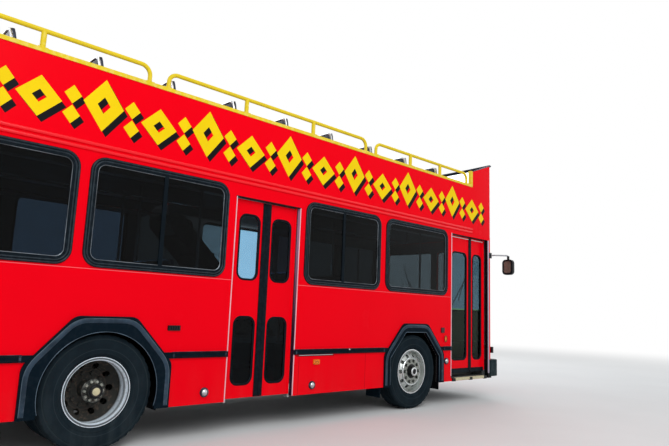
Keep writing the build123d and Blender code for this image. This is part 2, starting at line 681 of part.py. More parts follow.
with BuildPart() as arch_trims:
    for side in (-1, 1):
        for station in AXLE_STATIONS:
            with BuildSketch(side_plane(side, HALF_WIDTH)) as trim:
                arch_polyline(at(station), ARCH_OUTER_HALF, ARCH_OUTER_SHOULDER,
                              ARCH_OUTER_TOP_HALF, ARCH_TOP, SKIRT_BOTTOM)
                corners = trim.vertices().filter_by(lambda v: v.Y > SKIRT_BOTTOM + 1)
                fillet(corners, ARCH_TRIM_FILLET)
                if station == 0:
                    with Locations((at(station), AXLE_Z)):
                        Circle(ARCH_LIP_RADIUS, mode=Mode.SUBTRACT)
                    span(at(station) - ARCH_FOOT_HALF, at(station) + ARCH_FOOT_HALF, 0,
                         SKIRT_BOTTOM + ARCH_LAP, mode=Mode.SUBTRACT)
                else:
                    arch_polyline(at(station), ARCH_INNER_HALF, ARCH_INNER_SHOULDER,
                                  ARCH_INNER_TOP_HALF, ARCH_INNER_TOP, 0, Mode.SUBTRACT)
            extrude(amount=-inward(side, ARCH_TRIM_PROUD))

# Rub strips between the arches and doors, and the two ribs below the parapets
STRIP_TOP = 832
STRIP_HEIGHT = 57
STRIP_PROUD = 18
STRIP_GAP = 2
STRIP_REAR = -2595
STRIP_SPANS = {
    # side: (rear station, front station)
    -1: [(STRIP_REAR, -ARCH_OUTER_HALF - STRIP_GAP), (ARCH_OUTER_HALF + STRIP_GAP, MID_DOOR_REAR),
         (MID_DOOR_FRONT, WHEELBASE - ARCH_OUTER_HALF - STRIP_GAP),
         (WHEELBASE + ARCH_OUTER_HALF + STRIP_GAP, FRONT_DOOR_REAR)],
    1: [(STRIP_REAR, -ARCH_OUTER_HALF - STRIP_GAP),
        (ARCH_OUTER_HALF + STRIP_GAP, WHEELBASE - ARCH_OUTER_HALF - STRIP_GAP),
        (WHEELBASE + ARCH_OUTER_HALF + STRIP_GAP, FRONT_POST_STATION)],
}
with BuildPart() as rub_strips:
    for side, spans in STRIP_SPANS.items():
        with BuildSketch(side_plane(side, HALF_WIDTH)):
            for rear, front in spans:
                span(at(rear), at(front), STRIP_TOP - STRIP_HEIGHT, STRIP_TOP)
        extrude(amount=-inward(side, STRIP_PROUD))


# Bumpers

BUMPER_BOTTOM = 350
BUMPER_TOP = 610
BUMPER_WRAP = 25
FRONT_BUMPER_X = FRONT_AXLE_X + FRONT_OVERHANG
REAR_BUMPER_X = REAR_AXLE_X - REAR_OVERHANG
BUMPER_CORNER = 110
REAR_BUMPER_CORNER = 70
RACK_SPACING_Y = 600
RACK_SPACING_Z = 140
RACK_HOLE_RADIUS = 8.5
RACK_HOLE_DEPTH = 60

with BuildPart() as bumper_front:
    with BuildSketch(Plane.XY.offset(BUMPER_BOTTOM)) as plan:
        with BuildLine():
            outer = HALF_WIDTH + BUMPER_WRAP
            Polyline(
                (FRONT_CORNER_X - CORNER_RADIUS, HALF_WIDTH + SEAT_GAP),
                (FRONT_CORNER_X - CORNER_RADIUS, outer),
                (FRONT_BUMPER_X, outer),
                (FRONT_BUMPER_X, -outer),
                (FRONT_CORNER_X - CORNER_RADIUS, -outer),
                (FRONT_CORNER_X - CORNER_RADIUS, -HALF_WIDTH - SEAT_GAP),
                (FRONT_CORNER_X + SEAT_GAP, -HALF_WIDTH - SEAT_GAP),
            )
            ThreePointArc(
                (FRONT_CORNER_X + SEAT_GAP, -HALF_WIDTH - SEAT_GAP),
                (FRONT_CORNER_X + FRONT_BULGE + SEAT_GAP, 0),
                (FRONT_CORNER_X + SEAT_GAP, HALF_WIDTH + SEAT_GAP),
            )
            Line((FRONT_CORNER_X + SEAT_GAP, HALF_WIDTH + SEAT_GAP),
                 (FRONT_CORNER_X - CORNER_RADIUS, HALF_WIDTH + SEAT_GAP))
        make_face()
    extrude(amount=BUMPER_TOP - BUMPER_BOTTOM)
    corners = bumper_front.edges().filter_by(Axis.Z).filter_by(
        lambda e: e.center().X > FRONT_BUMPER_X - 1)
    fillet(corners, BUMPER_CORNER)
    with BuildSketch(Plane.YZ.offset(FRONT_BUMPER_X)):
        with Locations((0, (BUMPER_BOTTOM + BUMPER_TOP) / 2)):
            with GridLocations(RACK_SPACING_Y, RACK_SPACING_Z, 2, 2):
                Circle(RACK_HOLE_RADIUS)
    extrude(amount=-RACK_HOLE_DEPTH, mode=Mode.SUBTRACT)

with BuildPart() as bumper_rear:
    block((REAR_BUMPER_X, -HALF_WIDTH, BUMPER_BOTTOM), (REAR_FACE_X, HALF_WIDTH, BUMPER_TOP))
    corners = bumper_rear.edges().filter_by(Axis.Z).filter_by(
        lambda e: e.center().X < REAR_BUMPER_X + 1)
    fillet(corners, REAR_BUMPER_CORNER)
    with BuildSketch(Plane.YZ.offset(REAR_BUMPER_X)):
        with Locations((0, (BUMPER_BOTTOM + BUMPER_TOP) / 2)):
            with GridLocations(RACK_SPACING_Y, RACK_SPACING_Z, 2, 2):
                Circle(RACK_HOLE_RADIUS)
    extrude(amount=RACK_HOLE_DEPTH, mode=Mode.SUBTRACT)

with BuildPart() as bumpers:
    add(bumper_front.part)
    add(bumper_rear.part)
save(bumpers.part, "bumpers")


# Chassis: two rails with cross members

CHASSIS_RAIL_Y = LINER_INNER_Y - 160
CHASSIS_RAIL_WIDTH = 80
CHASSIS_RAIL_HEIGHT = 210
CHASSIS_RAIL_TOP = FLOOR_BOTTOM
CHASSIS_REAR = -2600
CHASSIS_FRONT = WHEELBASE + 1880
CROSS_HALF = 40
CROSS_LOW = 150
CROSS_HIGH = 20
CROSS_MEMBERS = [-2560, -1300, 900, 2300, WHEELBASE - 970, WHEELBASE + 1230]
with BuildPart() as chassis_frame:
    for side in (-1, 1):
        middle = side * CHASSIS_RAIL_Y
        block((at(CHASSIS_REAR), middle - CHASSIS_RAIL_WIDTH / 2,
               CHASSIS_RAIL_TOP - CHASSIS_RAIL_HEIGHT),
              (at(CHASSIS_FRONT), middle + CHASSIS_RAIL_WIDTH / 2, CHASSIS_RAIL_TOP))
    for station in CROSS_MEMBERS:
        block((at(station) - CROSS_HALF, -CHASSIS_RAIL_Y, CHASSIS_RAIL_TOP - CROSS_LOW),
              (at(station) + CROSS_HALF, CHASSIS_RAIL_Y, CHASSIS_RAIL_TOP - CROSS_HIGH))
OUTRIGGER_HALF = 20
OUTRIGGER_HEIGHT = 110
OUTRIGGERS = [-950, 900, 1180, 2290, WHEELBASE - 970, WHEELBASE + 730]
with BuildPart() as outriggers:
    for side in (-1, 1):
        inner = CHASSIS_RAIL_Y + CHASSIS_RAIL_WIDTH / 2
        for station in OUTRIGGERS:
            low, high = sorted((side * inner, side * WELL_OUTER_Y))
            block((at(station) - OUTRIGGER_HALF, low, FLOOR_BOTTOM - OUTRIGGER_HEIGHT),
                  (at(station) + OUTRIGGER_HALF, high, FLOOR_BOTTOM))

with BuildPart() as chassis:
    add(chassis_frame.part)
    add(outriggers.part)
save(chassis.part, "chassis")

ENGINE_REAR = -2500
ENGINE_FRONT = -1600
ENGINE_LOW = 380
ENGINE_HIGH = 1120
with BuildPart() as engine_block:
    half = CHASSIS_RAIL_Y - CHASSIS_RAIL_WIDTH / 2 - SEAT_GAP
    block((at(ENGINE_REAR), -half, ENGINE_LOW), (at(ENGINE_FRONT), half, ENGINE_HIGH))
save(engine_block.part, "engine_block")

# Front axle: a dropped beam with an eye at each end for the kingpin
EYE_RADIUS = 45
EYE_HALF_HEIGHT = 60
BEAM_HALF = 45
BEAM_DROP = 100
KNEE_INNER = 270
KNEE_OUTER = 140
with BuildPart() as front_axle:
    with BuildSketch(Plane.YZ.offset(FRONT_AXLE_X - BEAM_HALF)):
        with BuildLine():
            low = AXLE_Z - EYE_HALF_HEIGHT
            high = AXLE_Z + EYE_HALF_HEIGHT
            knee_in = KINGPIN_Y - KNEE_INNER
            knee_out = KINGPIN_Y - KNEE_OUTER
            Polyline(
                (-KINGPIN_Y, low), (-knee_out, low), (-knee_in, low - BEAM_DROP),
                (knee_in, low - BEAM_DROP), (knee_out, low), (KINGPIN_Y, low),
                (KINGPIN_Y, high), (knee_out, high), (knee_in, high - BEAM_DROP),
                (-knee_in, high - BEAM_DROP), (-knee_out, high), (-KINGPIN_Y, high),
                close=True,
            )
        make_face()
    extrude(amount=2 * BEAM_HALF)
    for side in (-1, 1):
        with Locations((FRONT_AXLE_X, side * KINGPIN_Y, AXLE_Z)):
            Cylinder(EYE_RADIUS, 2 * EYE_HALF_HEIGHT)
            Cylinder(KINGPIN_RADIUS + RUNNING_CLEARANCE, 3 * EYE_HALF_HEIGHT,
                     mode=Mode.SUBTRACT)
save(front_axle.part, "front_axle")

# Rear axle: banjo casing with a spindle at each end
DRUM_INNER_Y = WHEEL_PLANE_Y - 455
BANJO_RADIUS = 200
AXLE_TUBE_RADIUS = 70
BANJO_WIDTH = 220
TUBE_END_GAP = 15
SPINDLE_REACH = 60
HUB_FACE_Y = WHEEL_PLANE_Y - TWIN_SPACING / 2
with BuildPart() as rear_axle:
    with Locations(Location((REAR_AXLE_X, 0, AXLE_Z), (90, 0, 0))):
        Cylinder(AXLE_TUBE_RADIUS, 2 * (DRUM_INNER_Y - TUBE_END_GAP))
        Cylinder(SPINDLE_RADIUS, 2 * (HUB_FACE_Y + SPINDLE_REACH))
        Cylinder(BANJO_RADIUS, BANJO_WIDTH)
save(rear_axle.part, "rear_axle")

# Air springs between the chassis rails and the axle seats
REAR_SPRING_RADIUS = 38
FRONT_SPRING_RADIUS = 80
with BuildPart() as air_springs:
    for side in (-1, 1):
        low = AXLE_Z + AXLE_TUBE_RADIUS + SEAT_GAP
        with Locations((REAR_AXLE_X, side * CHASSIS_RAIL_Y, low)):
            Cylinder(REAR_SPRING_RADIUS, CHASSIS_RAIL_TOP - CHASSIS_RAIL_HEIGHT - low,
                     align=(Align.CENTER, Align.CENTER, Align.MIN))
        low = AXLE_Z + EYE_HALF_HEIGHT - BEAM_DROP
        with Locations((FRONT_AXLE_X, side * CHASSIS_RAIL_Y, low)):
            Cylinder(FRONT_SPRING_RADIUS, CHASSIS_RAIL_TOP - CHASSIS_RAIL_HEIGHT - low,
                     align=(Align.CENTER, Align.CENTER, Align.MIN))
save(air_springs.part, "air_springs")


# Wheels: a tyre, a drop-centre rim with a dished disc, and a hub with its drum

TYRE_SHOULDER = 40
HAND_HOLES = 10
HAND_HOLE_CIRCLE = 208
HAND_HOLE_RADIUS = 27
DISC_THICKNESS = 12
HUB_RADIUS = 110
STUD_CIRCLE = 143
STUD_RADIUS = 13
STUD_LENGTH = 30
DRUM_RADIUS = 205
FRONT_DISC_OFFSET = 105
REAR_DISC_OFFSET = TWIN_SPACING / 2


def wheel_plane(x, y, side):
    """Plane through a wheel's middle: sketch x is outboard along its axle, sketch y is up."""
    return Plane(origin=(x, y, AXLE_Z), x_dir=(0, side, 0), z_dir=(side, 0, 0))


def hub_axis(x):
    """Axis of a wheel."""
    return Axis((x, 0, AXLE_Z), (0, 1, 0))


def build_tyre(x, planes, side):
    """One tyre, or two side by side, revolved about the axle."""
    with BuildPart() as tyre:
        for y in planes:
            with BuildSketch(wheel_plane(x, y, side)):
                half = TYRE_WIDTH / 2
                tread = half - TYRE_SHOULDER
                bead = RIM_WIDTH / 2
                flange = RIM_FLANGE_RADIUS + 2
                with BuildLine():
                    Polyline((-bead, flange), (-bead, RIM_SEAT_RADIUS), (bead, RIM_SEAT_RADIUS),
                             (bead, flange))
                    ThreePointArc((bead, flange), (half, (flange + TYRE_RADIUS) / 2),
                                  (half - 10, TYRE_RADIUS - TYRE_SHOULDER))
                    Polyline((half - 10, TYRE_RADIUS - TYRE_SHOULDER), (tread, TYRE_RADIUS - 6),
                             (0, TYRE_RADIUS), (-tread, TYRE_RADIUS - 6),
                             (-half + 10, TYRE_RADIUS - TYRE_SHOULDER))
                    ThreePointArc((-half + 10, TYRE_RADIUS - TYRE_SHOULDER),
                                  (-half, (flange + TYRE_RADIUS) / 2), (-bead, flange))
                make_face()
            revolve(axis=hub_axis(x))
    return tyre.part


def rim_section(disc_offset):
    """Section of a rim and its disc; disc_offset is the disc's outboard distance."""
    half = RIM_WIDTH / 2
    seat = RIM_SEAT_RADIUS - SEAT_GAP
    inner = seat - RIM_THICKNESS
    side = 1 if disc_offset > 0 else -1
    root = disc_offset - side * 75
    with BuildLine() as rim_line:
        Polyline(
            (-half - SEAT_GAP, seat), (half + SEAT_GAP, seat),
            (half + SEAT_GAP, RIM_FLANGE_RADIUS), (half + RIM_THICKNESS, RIM_FLANGE_RADIUS),
            (half + RIM_THICKNESS, inner), (-half - RIM_THICKNESS, inner),
            (-half - RIM_THICKNESS, RIM_FLANGE_RADIUS),
            (-half - SEAT_GAP, RIM_FLANGE_RADIUS),
            close=True,
        )
    make_face(rim_line.edges())
    with BuildLine() as disc_line:
        Polyline(
            (root, inner + 2), (root - side * DISC_THICKNESS, inner + 2),
            (disc_offset - side * DISC_THICKNESS, STUD_CIRCLE + 45),
            (disc_offset - side * DISC_THICKNESS, SPINDLE_RADIUS + 22),
            (disc_offset, SPINDLE_RADIUS + 22), (disc_offset, STUD_CIRCLE + 40),
            close=True,
        )
    make_face(disc_line.edges())


def build_wheel(x, rims, hub, drum, cap, side):
    """Rims with their discs, hub, drum, cap and nuts, carried by one axle end.

    rims is a list of (plane, disc offset), hub is (inboard, outboard) and drum is
    (inboard, outboard), all as distances from the bus's middle.
    """
    with BuildPart() as wheel:
        for y, offset in rims:
            with BuildSketch(wheel_plane(x, side * y, side)):
                rim_section(offset)
            revolve(axis=hub_axis(x))
            with BuildSketch(Plane(origin=(x, side * (y + offset), AXLE_Z),
                                   x_dir=(1, 0, 0), z_dir=(0, side, 0))):
                with PolarLocations(HAND_HOLE_CIRCLE, HAND_HOLES):
                    Circle(HAND_HOLE_RADIUS)
            extrude(amount=60, both=True, mode=Mode.SUBTRACT)
        with BuildSketch(wheel_plane(x, 0, side)):
            bore = SPINDLE_RADIUS + RUNNING_CLEARANCE
            inboard, outboard = hub
            drum_in, drum_out = drum
            with BuildLine():
                Polyline(
                    (drum_in, bore), (drum_in, DRUM_RADIUS), (drum_out, DRUM_RADIUS),
                    (drum_out, HUB_RADIUS + 60), (inboard, HUB_RADIUS + 60),
                    (inboard, HUB_RADIUS - 30), (outboard, HUB_RADIUS - 42), (cap - 8, 62),
                    (cap, 50), (cap, 0), (outboard - 20, 0), (outboard - 20, bore),
                    close=True,
                )
            make_face()
        revolve(axis=hub_axis(x))
        face = rims[0][0] + rims[0][1]
        if rims[0][1] < 0:
            face = rims[0][0] + rims[0][1] + DISC_THICKNESS
        with BuildSketch(Plane(origin=(x, side * face, AXLE_Z), x_dir=(1, 0, 0),
                               z_dir=(0, side, 0))):
            with PolarLocations(STUD_CIRCLE, HAND_HOLES):
                Circle(STUD_RADIUS)
        extrude(amount=STUD_LENGTH)
    return wheel.part


FRONT_HUB_OUT = WHEEL_PLANE_Y + FRONT_DISC_OFFSET + 30
FRONT_CAP = WHEEL_PLANE_Y + FRONT_DISC_OFFSET + 55
FRONT_DISC_BACK = WHEEL_PLANE_Y + FRONT_DISC_OFFSET - DISC_THICKNESS
FRONT_DRUM = (WHEEL_PLANE_Y - 75, WHEEL_PLANE_Y + 55)
REAR_DRUM = (DRUM_INNER_Y, HUB_FACE_Y - DISC_THICKNESS - 35)
REAR_CAP = WHEEL_PLANE_Y + 95
for side, name in [(-1, "right"), (1, "left")]:
    save(build_tyre(FRONT_AXLE_X, [side * WHEEL_PLANE_Y], side), f"tyre_front_{name}")
    save(build_wheel(FRONT_AXLE_X, [(WHEEL_PLANE_Y, FRONT_DISC_OFFSET)],
                     (FRONT_DISC_BACK, FRONT_HUB_OUT), FRONT_DRUM, FRONT_CAP, side),
         f"wheel_front_{name}")
    inner_plane = WHEEL_PLANE_Y - TWIN_SPACING
    save(build_tyre(REAR_AXLE_X, [side * WHEEL_PLANE_Y, side * inner_plane], side),
         f"tyres_rear_{name}")
    save(build_wheel(REAR_AXLE_X, [(WHEEL_PLANE_Y, -REAR_DISC_OFFSET),
                                   (inner_plane, REAR_DISC_OFFSET)],
                     (HUB_FACE_Y - DISC_THICKNESS, HUB_FACE_Y + 90), REAR_DRUM, REAR_CAP, side),
         f"wheels_rear_{name}")

# Steering knuckles on their kingpins, and the tie rod behind the axle
LUG_THICKNESS = 40
LUG_GAP = 5
LUG_RADIUS = 42
WEB_INNER = 52
WEB_OUTER = 76
WEB_HALF = 55
ARM_HALF = 20
ARM_THICKNESS = 28
TIE_ROD_RADIUS = 18
ARM_TOP = AXLE_Z - EYE_HALF_HEIGHT - LUG_GAP
ROD_X = FRONT_AXLE_X - STEERING_ARM
for side, name in [(-1, "right"), (1, "left")]:
    pin_y = side * KINGPIN_Y
    with BuildPart() as knuckle:
        top = AXLE_Z + EYE_HALF_HEIGHT + LUG_GAP + LUG_THICKNESS
        bottom = ARM_TOP - LUG_THICKNESS
        with Locations((FRONT_AXLE_X, pin_y, AXLE_Z)):
            Cylinder(KINGPIN_RADIUS, top - bottom)
        for low in (bottom, top - LUG_THICKNESS):
            with BuildSketch(Plane.XY.offset(low)):
                with Locations((FRONT_AXLE_X, pin_y)):
                    Circle(LUG_RADIUS)
                y_low, y_high = sorted((pin_y, pin_y + side * WEB_OUTER))
                span(FRONT_AXLE_X - LUG_RADIUS, FRONT_AXLE_X + LUG_RADIUS, y_low, y_high)
            extrude(amount=LUG_THICKNESS)
        y_low, y_high = sorted((pin_y + side * WEB_INNER, pin_y + side * WEB_OUTER))
        block((FRONT_AXLE_X - WEB_HALF, y_low, bottom), (FRONT_AXLE_X + WEB_HALF, y_high, top))
        with BuildSketch(side_plane(side, KINGPIN_Y + WEB_OUTER - 1)):
            with Locations((FRONT_AXLE_X, AXLE_Z)):
                Circle(SPINDLE_RADIUS)
        extrude(amount=-inward(side, FRONT_HUB_OUT - 20 - KINGPIN_Y - WEB_OUTER))
        with BuildSketch(Plane.XY.offset(ARM_TOP - ARM_THICKNESS)):
            span(ROD_X, FRONT_AXLE_X - KINGPIN_RADIUS, pin_y - ARM_HALF, pin_y + ARM_HALF)
            with Locations((ROD_X, pin_y)):
                Circle(ARM_HALF)
        extrude(amount=ARM_THICKNESS)
    save(knuckle.part, f"knuckle_{name}")

ROD_Z = ARM_TOP - ARM_THICKNESS - SEAT_GAP
with BuildPart() as tie_rod:
    with Locations(Location((ROD_X, 0, ROD_Z - ARM_HALF), (90, 0, 0))):
        Cylinder(TIE_ROD_RADIUS, 2 * KINGPIN_Y)
    for side in (-1, 1):
        with Locations((ROD_X, side * KINGPIN_Y, ROD_Z - ARM_HALF)):
            Cylinder(ARM_HALF + 4, 2 * ARM_HALF)
save(tie_rod.part, "tie_rod")

# Mud flaps behind the front wheels
FLAP_INNER_Y = WHEEL_PLANE_Y - 135
FLAP_OUTER_Y = HALF_WIDTH - 55
FLAP_BOTTOM = 190
FLAP_TOP = 520
FLAP_THICKNESS = 12
with BuildPart() as mud_flaps:
    for side in (-1, 1):
        y_low, y_high = sorted((side * FLAP_INNER_Y, side * FLAP_OUTER_Y))
        rear = FRONT_AXLE_X - LINER_HALF - LINER_THICKNESS
        block((rear - FLAP_THICKNESS, y_low, FLAP_BOTTOM), (rear, y_high, FLAP_TOP))

with BuildPart() as rubber_trims:
    for piece in (arch_trims.part, rub_strips.part, mud_flaps.part):
        add(piece)
save(rubber_trims.part, "rubber_trims")


# Doors on the right side. A leaf swings outward about the shaft at its jamb.

SHAFT_RADIUS = 14
PANE_THICKNESS = 6
PANE_DEPTH = 10
PANE_RADIUS = 85
SHAFT_BLOCK = 35
MID_PANE_TOP = MID_DOOR_TOP - 172
FRONT_PANE_TOP = FRONT_DOOR_TOP - 270
MID_SEAM = (MID_DOOR_REAR + MID_DOOR_FRONT) / 2
FRONT_SEAM = WHEELBASE + 1465
MID_LEAF_BOTTOM = 345
DOOR_LEAVES = [
    # name, jamb station, seam station, inset, bottom, top, panes (rear, front, low, high)
    ("mid_door_rear", MID_DOOR_REAR, MID_SEAM, MID_DOOR_INSET, MID_LEAF_BOTTOM, MID_DOOR_TOP,
     [(1376, 1632, 1586, MID_PANE_TOP), (1376, 1632, 484, 1180)]),
    ("mid_door_front", MID_DOOR_FRONT, MID_SEAM, MID_DOOR_INSET, MID_LEAF_BOTTOM,
     MID_DOOR_TOP, [(1818, 2074, 1586, MID_PANE_TOP), (1818, 2074, 484, 1180)]),
    ("front_door_rear", FRONT_DOOR_REAR, FRONT_SEAM, FRONT_DOOR_INSET, FRONT_DOOR_BOTTOM,
     FRONT_DOOR_TOP, [(WHEELBASE + 980, WHEELBASE + 1375, 625, FRONT_PANE_TOP)]),
    ("front_door_front", FRONT_POST_STATION, FRONT_SEAM, FRONT_DOOR_INSET,
     FRONT_DOOR_BOTTOM, FRONT_DOOR_TOP, [(WHEELBASE + 1555, WHEELBASE + 1795, 625, FRONT_PANE_TOP)]),
]

for node, jamb, seam, inset, bottom, top, panes in DOOR_LEAVES:
    towards_seam = 1 if seam > jamb else -1
    hinge_x = at(jamb) + towards_seam * LEAF_HINGE_GAP
    face_y = -(HALF_WIDTH - inset)
    seam_x = at(seam) - towards_seam * LEAF_GAP / 2
    edge_x = hinge_x - towards_seam * SHAFT_RADIUS
    with BuildPart() as leaf:
        with BuildSketch(side_plane(-1, HALF_WIDTH - inset)):
            span(min(edge_x, seam_x), max(edge_x, seam_x), bottom, top - LEAF_GAP)
            for rear, front, low, high in panes:
                span(at(rear), at(front), low, high, PANE_RADIUS, Mode.SUBTRACT)
        extrude(amount=inward(-1, LEAF_THICKNESS))
        with Locations((hinge_x, face_y, bottom)):
            Cylinder(SHAFT_RADIUS, top - SEAT_GAP - bottom,
                     align=(Align.CENTER, Align.CENTER, Align.MIN))
    save(leaf.part, node)
    with BuildPart() as pane_set:
        with BuildSketch(side_plane(-1, HALF_WIDTH - inset - PANE_DEPTH)):
            for rear, front, low, high in panes:
                span(at(rear) + SEAT_GAP, at(front) - SEAT_GAP, low + SEAT_GAP,
                     high - SEAT_GAP, PANE_RADIUS - SEAT_GAP)
        extrude(amount=inward(-1, PANE_THICKNESS))
    save(pane_set.part, node + "_glass")

# Blocks that carry the door shafts
with BuildPart() as door_pivots:
    for node, jamb, seam, inset, bottom, top, panes in DOOR_LEAVES:
        towards_seam = 1 if seam > jamb else -1
        hinge_x = at(jamb) + towards_seam * LEAF_HINGE_GAP
        face_y = -(HALF_WIDTH - inset)
        low_x = hinge_x - SHAFT_RADIUS
        high_x = hinge_x + SHAFT_RADIUS
        if inset == MID_DOOR_INSET:
            block((low_x, face_y - SHAFT_RADIUS, bottom - SHAFT_BLOCK),
                  (high_x, -MID_WELL_OUTER, bottom - SEAT_GAP))
        else:
            block((low_x, face_y - SHAFT_RADIUS, FRONT_SILL_TOP),
                  (high_x, face_y + SHAFT_RADIUS, bottom - SEAT_GAP))
            block((low_x, face_y - SHAFT_RADIUS, top),
                  (high_x, face_y + SHAFT_RADIUS, DECK_UNDERSIDE))
save(door_pivots.part, "door_pivots")


# Seats: a cushion and a raked back on a pedestal, two places wide

SEAT_INNER_Y = 270
SEAT_WALL_GAP = 20
SEAT_WIDTH = HALF_WIDTH - WALL - SEAT_WALL_GAP - SEAT_INNER_Y
SEAT_DEPTH = 440
SEAT_CUSHION_LOW = 370
SEAT_CUSHION_HIGH = 450
SEAT_BACK_TOP = 840
SEAT_BACK_RAKE = 90
SEAT_BACK_THICKNESS = 55
PEDESTAL_HALF = 140


def seat_pair(width, cushion_low):
    """Seat facing forward with its back's foot at the origin, on a floor at Z = 0."""
    low = cushion_low
    high = low + SEAT_CUSHION_HIGH - SEAT_CUSHION_LOW
    back = low + SEAT_BACK_TOP - SEAT_CUSHION_LOW
    with BuildPart(mode=Mode.PRIVATE) as seat:
        with BuildSketch(Plane.XZ):
            with BuildLine():
                Polyline(
                    (0, low), (SEAT_DEPTH, low), (SEAT_DEPTH, high), (SEAT_BACK_THICKNESS, high),
                    (SEAT_BACK_THICKNESS - SEAT_BACK_RAKE, back), (-SEAT_BACK_RAKE, back),
                    close=True,
                )
            make_face()
        extrude(amount=width / 2, both=True)
        if low > 0:
            block((SEAT_DEPTH / 2 - PEDESTAL_HALF, -PEDESTAL_HALF, 0),
                  (SEAT_DEPTH / 2 + PEDESTAL_HALF, PEDESTAL_HALF, low))
    return seat.part


UPPER_ROW_FIRST = -2420
UPPER_ROW_PITCH = 740
UPPER_ROWS = 11
STAIR_SEAT_GAP = 100
with BuildPart() as seats_upper:
    pair = seat_pair(SEAT_WIDTH, SEAT_CUSHION_LOW)
    middle_y = SEAT_INNER_Y + SEAT_WIDTH / 2
    for row in range(UPPER_ROWS):
        station = UPPER_ROW_FIRST + row * UPPER_ROW_PITCH
        with Locations((at(station), -middle_y, DECK_TOP)):
            add(pair)
        clear = station + SEAT_DEPTH < STAIRWELL_REAR - STAIR_SEAT_GAP
        clear = clear or station - SEAT_BACK_RAKE > STAIRWELL_FRONT + STAIR_SEAT_GAP
        if clear:
            with Locations((at(station), middle_y, DECK_TOP)):
                add(pair)
save(seats_upper.part, "seats_upper")

LOWER_ROWS = [
    # station of the back's foot, side, floor height, cushion underside above the floor
    (680, -1, FLOOR_TOP, SEAT_CUSHION_LOW),
    (680, 1, FLOOR_TOP, SEAT_CUSHION_LOW),
    (2340, -1, FLOOR_TOP, SEAT_CUSHION_LOW),
    (WHEELBASE - 1330, -1, FLOOR_TOP, SEAT_CUSHION_LOW),
    (-1240, -1, FLOOR_TOP, SEAT_CUSHION_LOW),
    (-1240, 1, FLOOR_TOP, SEAT_CUSHION_LOW),
    (-1860, -1, REAR_PLATFORM_TOP, 0),
    (-1860, 1, REAR_PLATFORM_TOP, 0),
    (-2540, -1, REAR_PLATFORM_TOP, 0),
    (-2540, 1, REAR_PLATFORM_TOP, 0),
]
BENCH_HALF = 520
DRIVER_SEAT = WHEELBASE + 930
DRIVER_SEAT_WIDTH = 500
DRIVER_Y = 720
BENCH_TOP = 1210
BENCH_INNER_Y = LINER_INNER_Y + 90
BENCH_OUTER_Y = HALF_WIDTH - WALL - SEAT_WALL_GAP
with BuildPart() as seats_lower:
    for station, side, floor, low in LOWER_ROWS:
        middle_y = side * (SEAT_INNER_Y + SEAT_WIDTH / 2)
        with Locations((at(station), middle_y, floor)):
            add(seat_pair(SEAT_WIDTH, low))
    for side in (-1, 1):
        for station in AXLE_STATIONS:
            seat_z = LINER_TOP + LINER_THICKNESS
            y_low, y_high = sorted((side * BENCH_INNER_Y, side * BENCH_OUTER_Y))
            block((at(station) - BENCH_HALF / 2, y_low, seat_z),
                  (at(station) + BENCH_HALF / 2, y_high, BENCH_TOP))
            y_low, y_high = sorted((side * (BENCH_OUTER_Y - SEAT_BACK_THICKNESS),
                                    side * BENCH_OUTER_Y))
            block((at(station) - BENCH_HALF / 2, y_low, BENCH_TOP),
                  (at(station) + BENCH_HALF / 2, y_high, WINDOW_BOTTOM))
    with Locations((at(DRIVER_SEAT), DRIVER_Y, FLOOR_TOP)):
        add(seat_pair(DRIVER_SEAT_WIDTH, SEAT_CUSHION_LOW))
save(seats_lower.part, "seats_lower")

# Stairs from the lower floor, climbing rearwards along the left side
RISERS = 8
TREAD_DEPTH = 240
TREAD_THICKNESS = 30
STRINGER_THICKNESS = 25
STRINGER_FOOT = WHEELBASE - 1070
STRINGER_HEEL = WHEELBASE - 1420
STAIR_MARGIN = 20
riser = (DECK_TOP - FLOOR_TOP) / RISERS
slope = riser / TREAD_DEPTH
stair_inner = STAIRWELL_INNER + STAIR_MARGIN
stair_outer = STAIRWELL_OUTER - STAIR_MARGIN
with BuildPart() as stairs:
    for low_y in (stair_inner, stair_outer - STRINGER_THICKNESS):
        with BuildSketch(Plane.XZ.offset(-low_y - STRINGER_THICKNESS)):
            with BuildLine():
                Polyline(
                    (at(STRINGER_FOOT), FLOOR_TOP),
                    (at(STRINGER_HEEL), FLOOR_TOP),
                    (at(STAIRWELL_REAR), FLOOR_TOP + slope * (STRINGER_HEEL - STAIRWELL_REAR)),
                    (at(STAIRWELL_REAR), FLOOR_TOP + slope * (STRINGER_FOOT - STAIRWELL_REAR)),
                    close=True,
                )
            make_face()
        extrude(amount=STRINGER_THICKNESS)
    for step in range(1, RISERS):
        front = at(STAIRWELL_REAR) + TREAD_DEPTH * (RISERS - step)
        top = FLOOR_TOP + riser * step
        block((front - TREAD_DEPTH, stair_inner, top - TREAD_THICKNESS),
              (front, stair_outer, top))
save(stairs.part, "stairs")

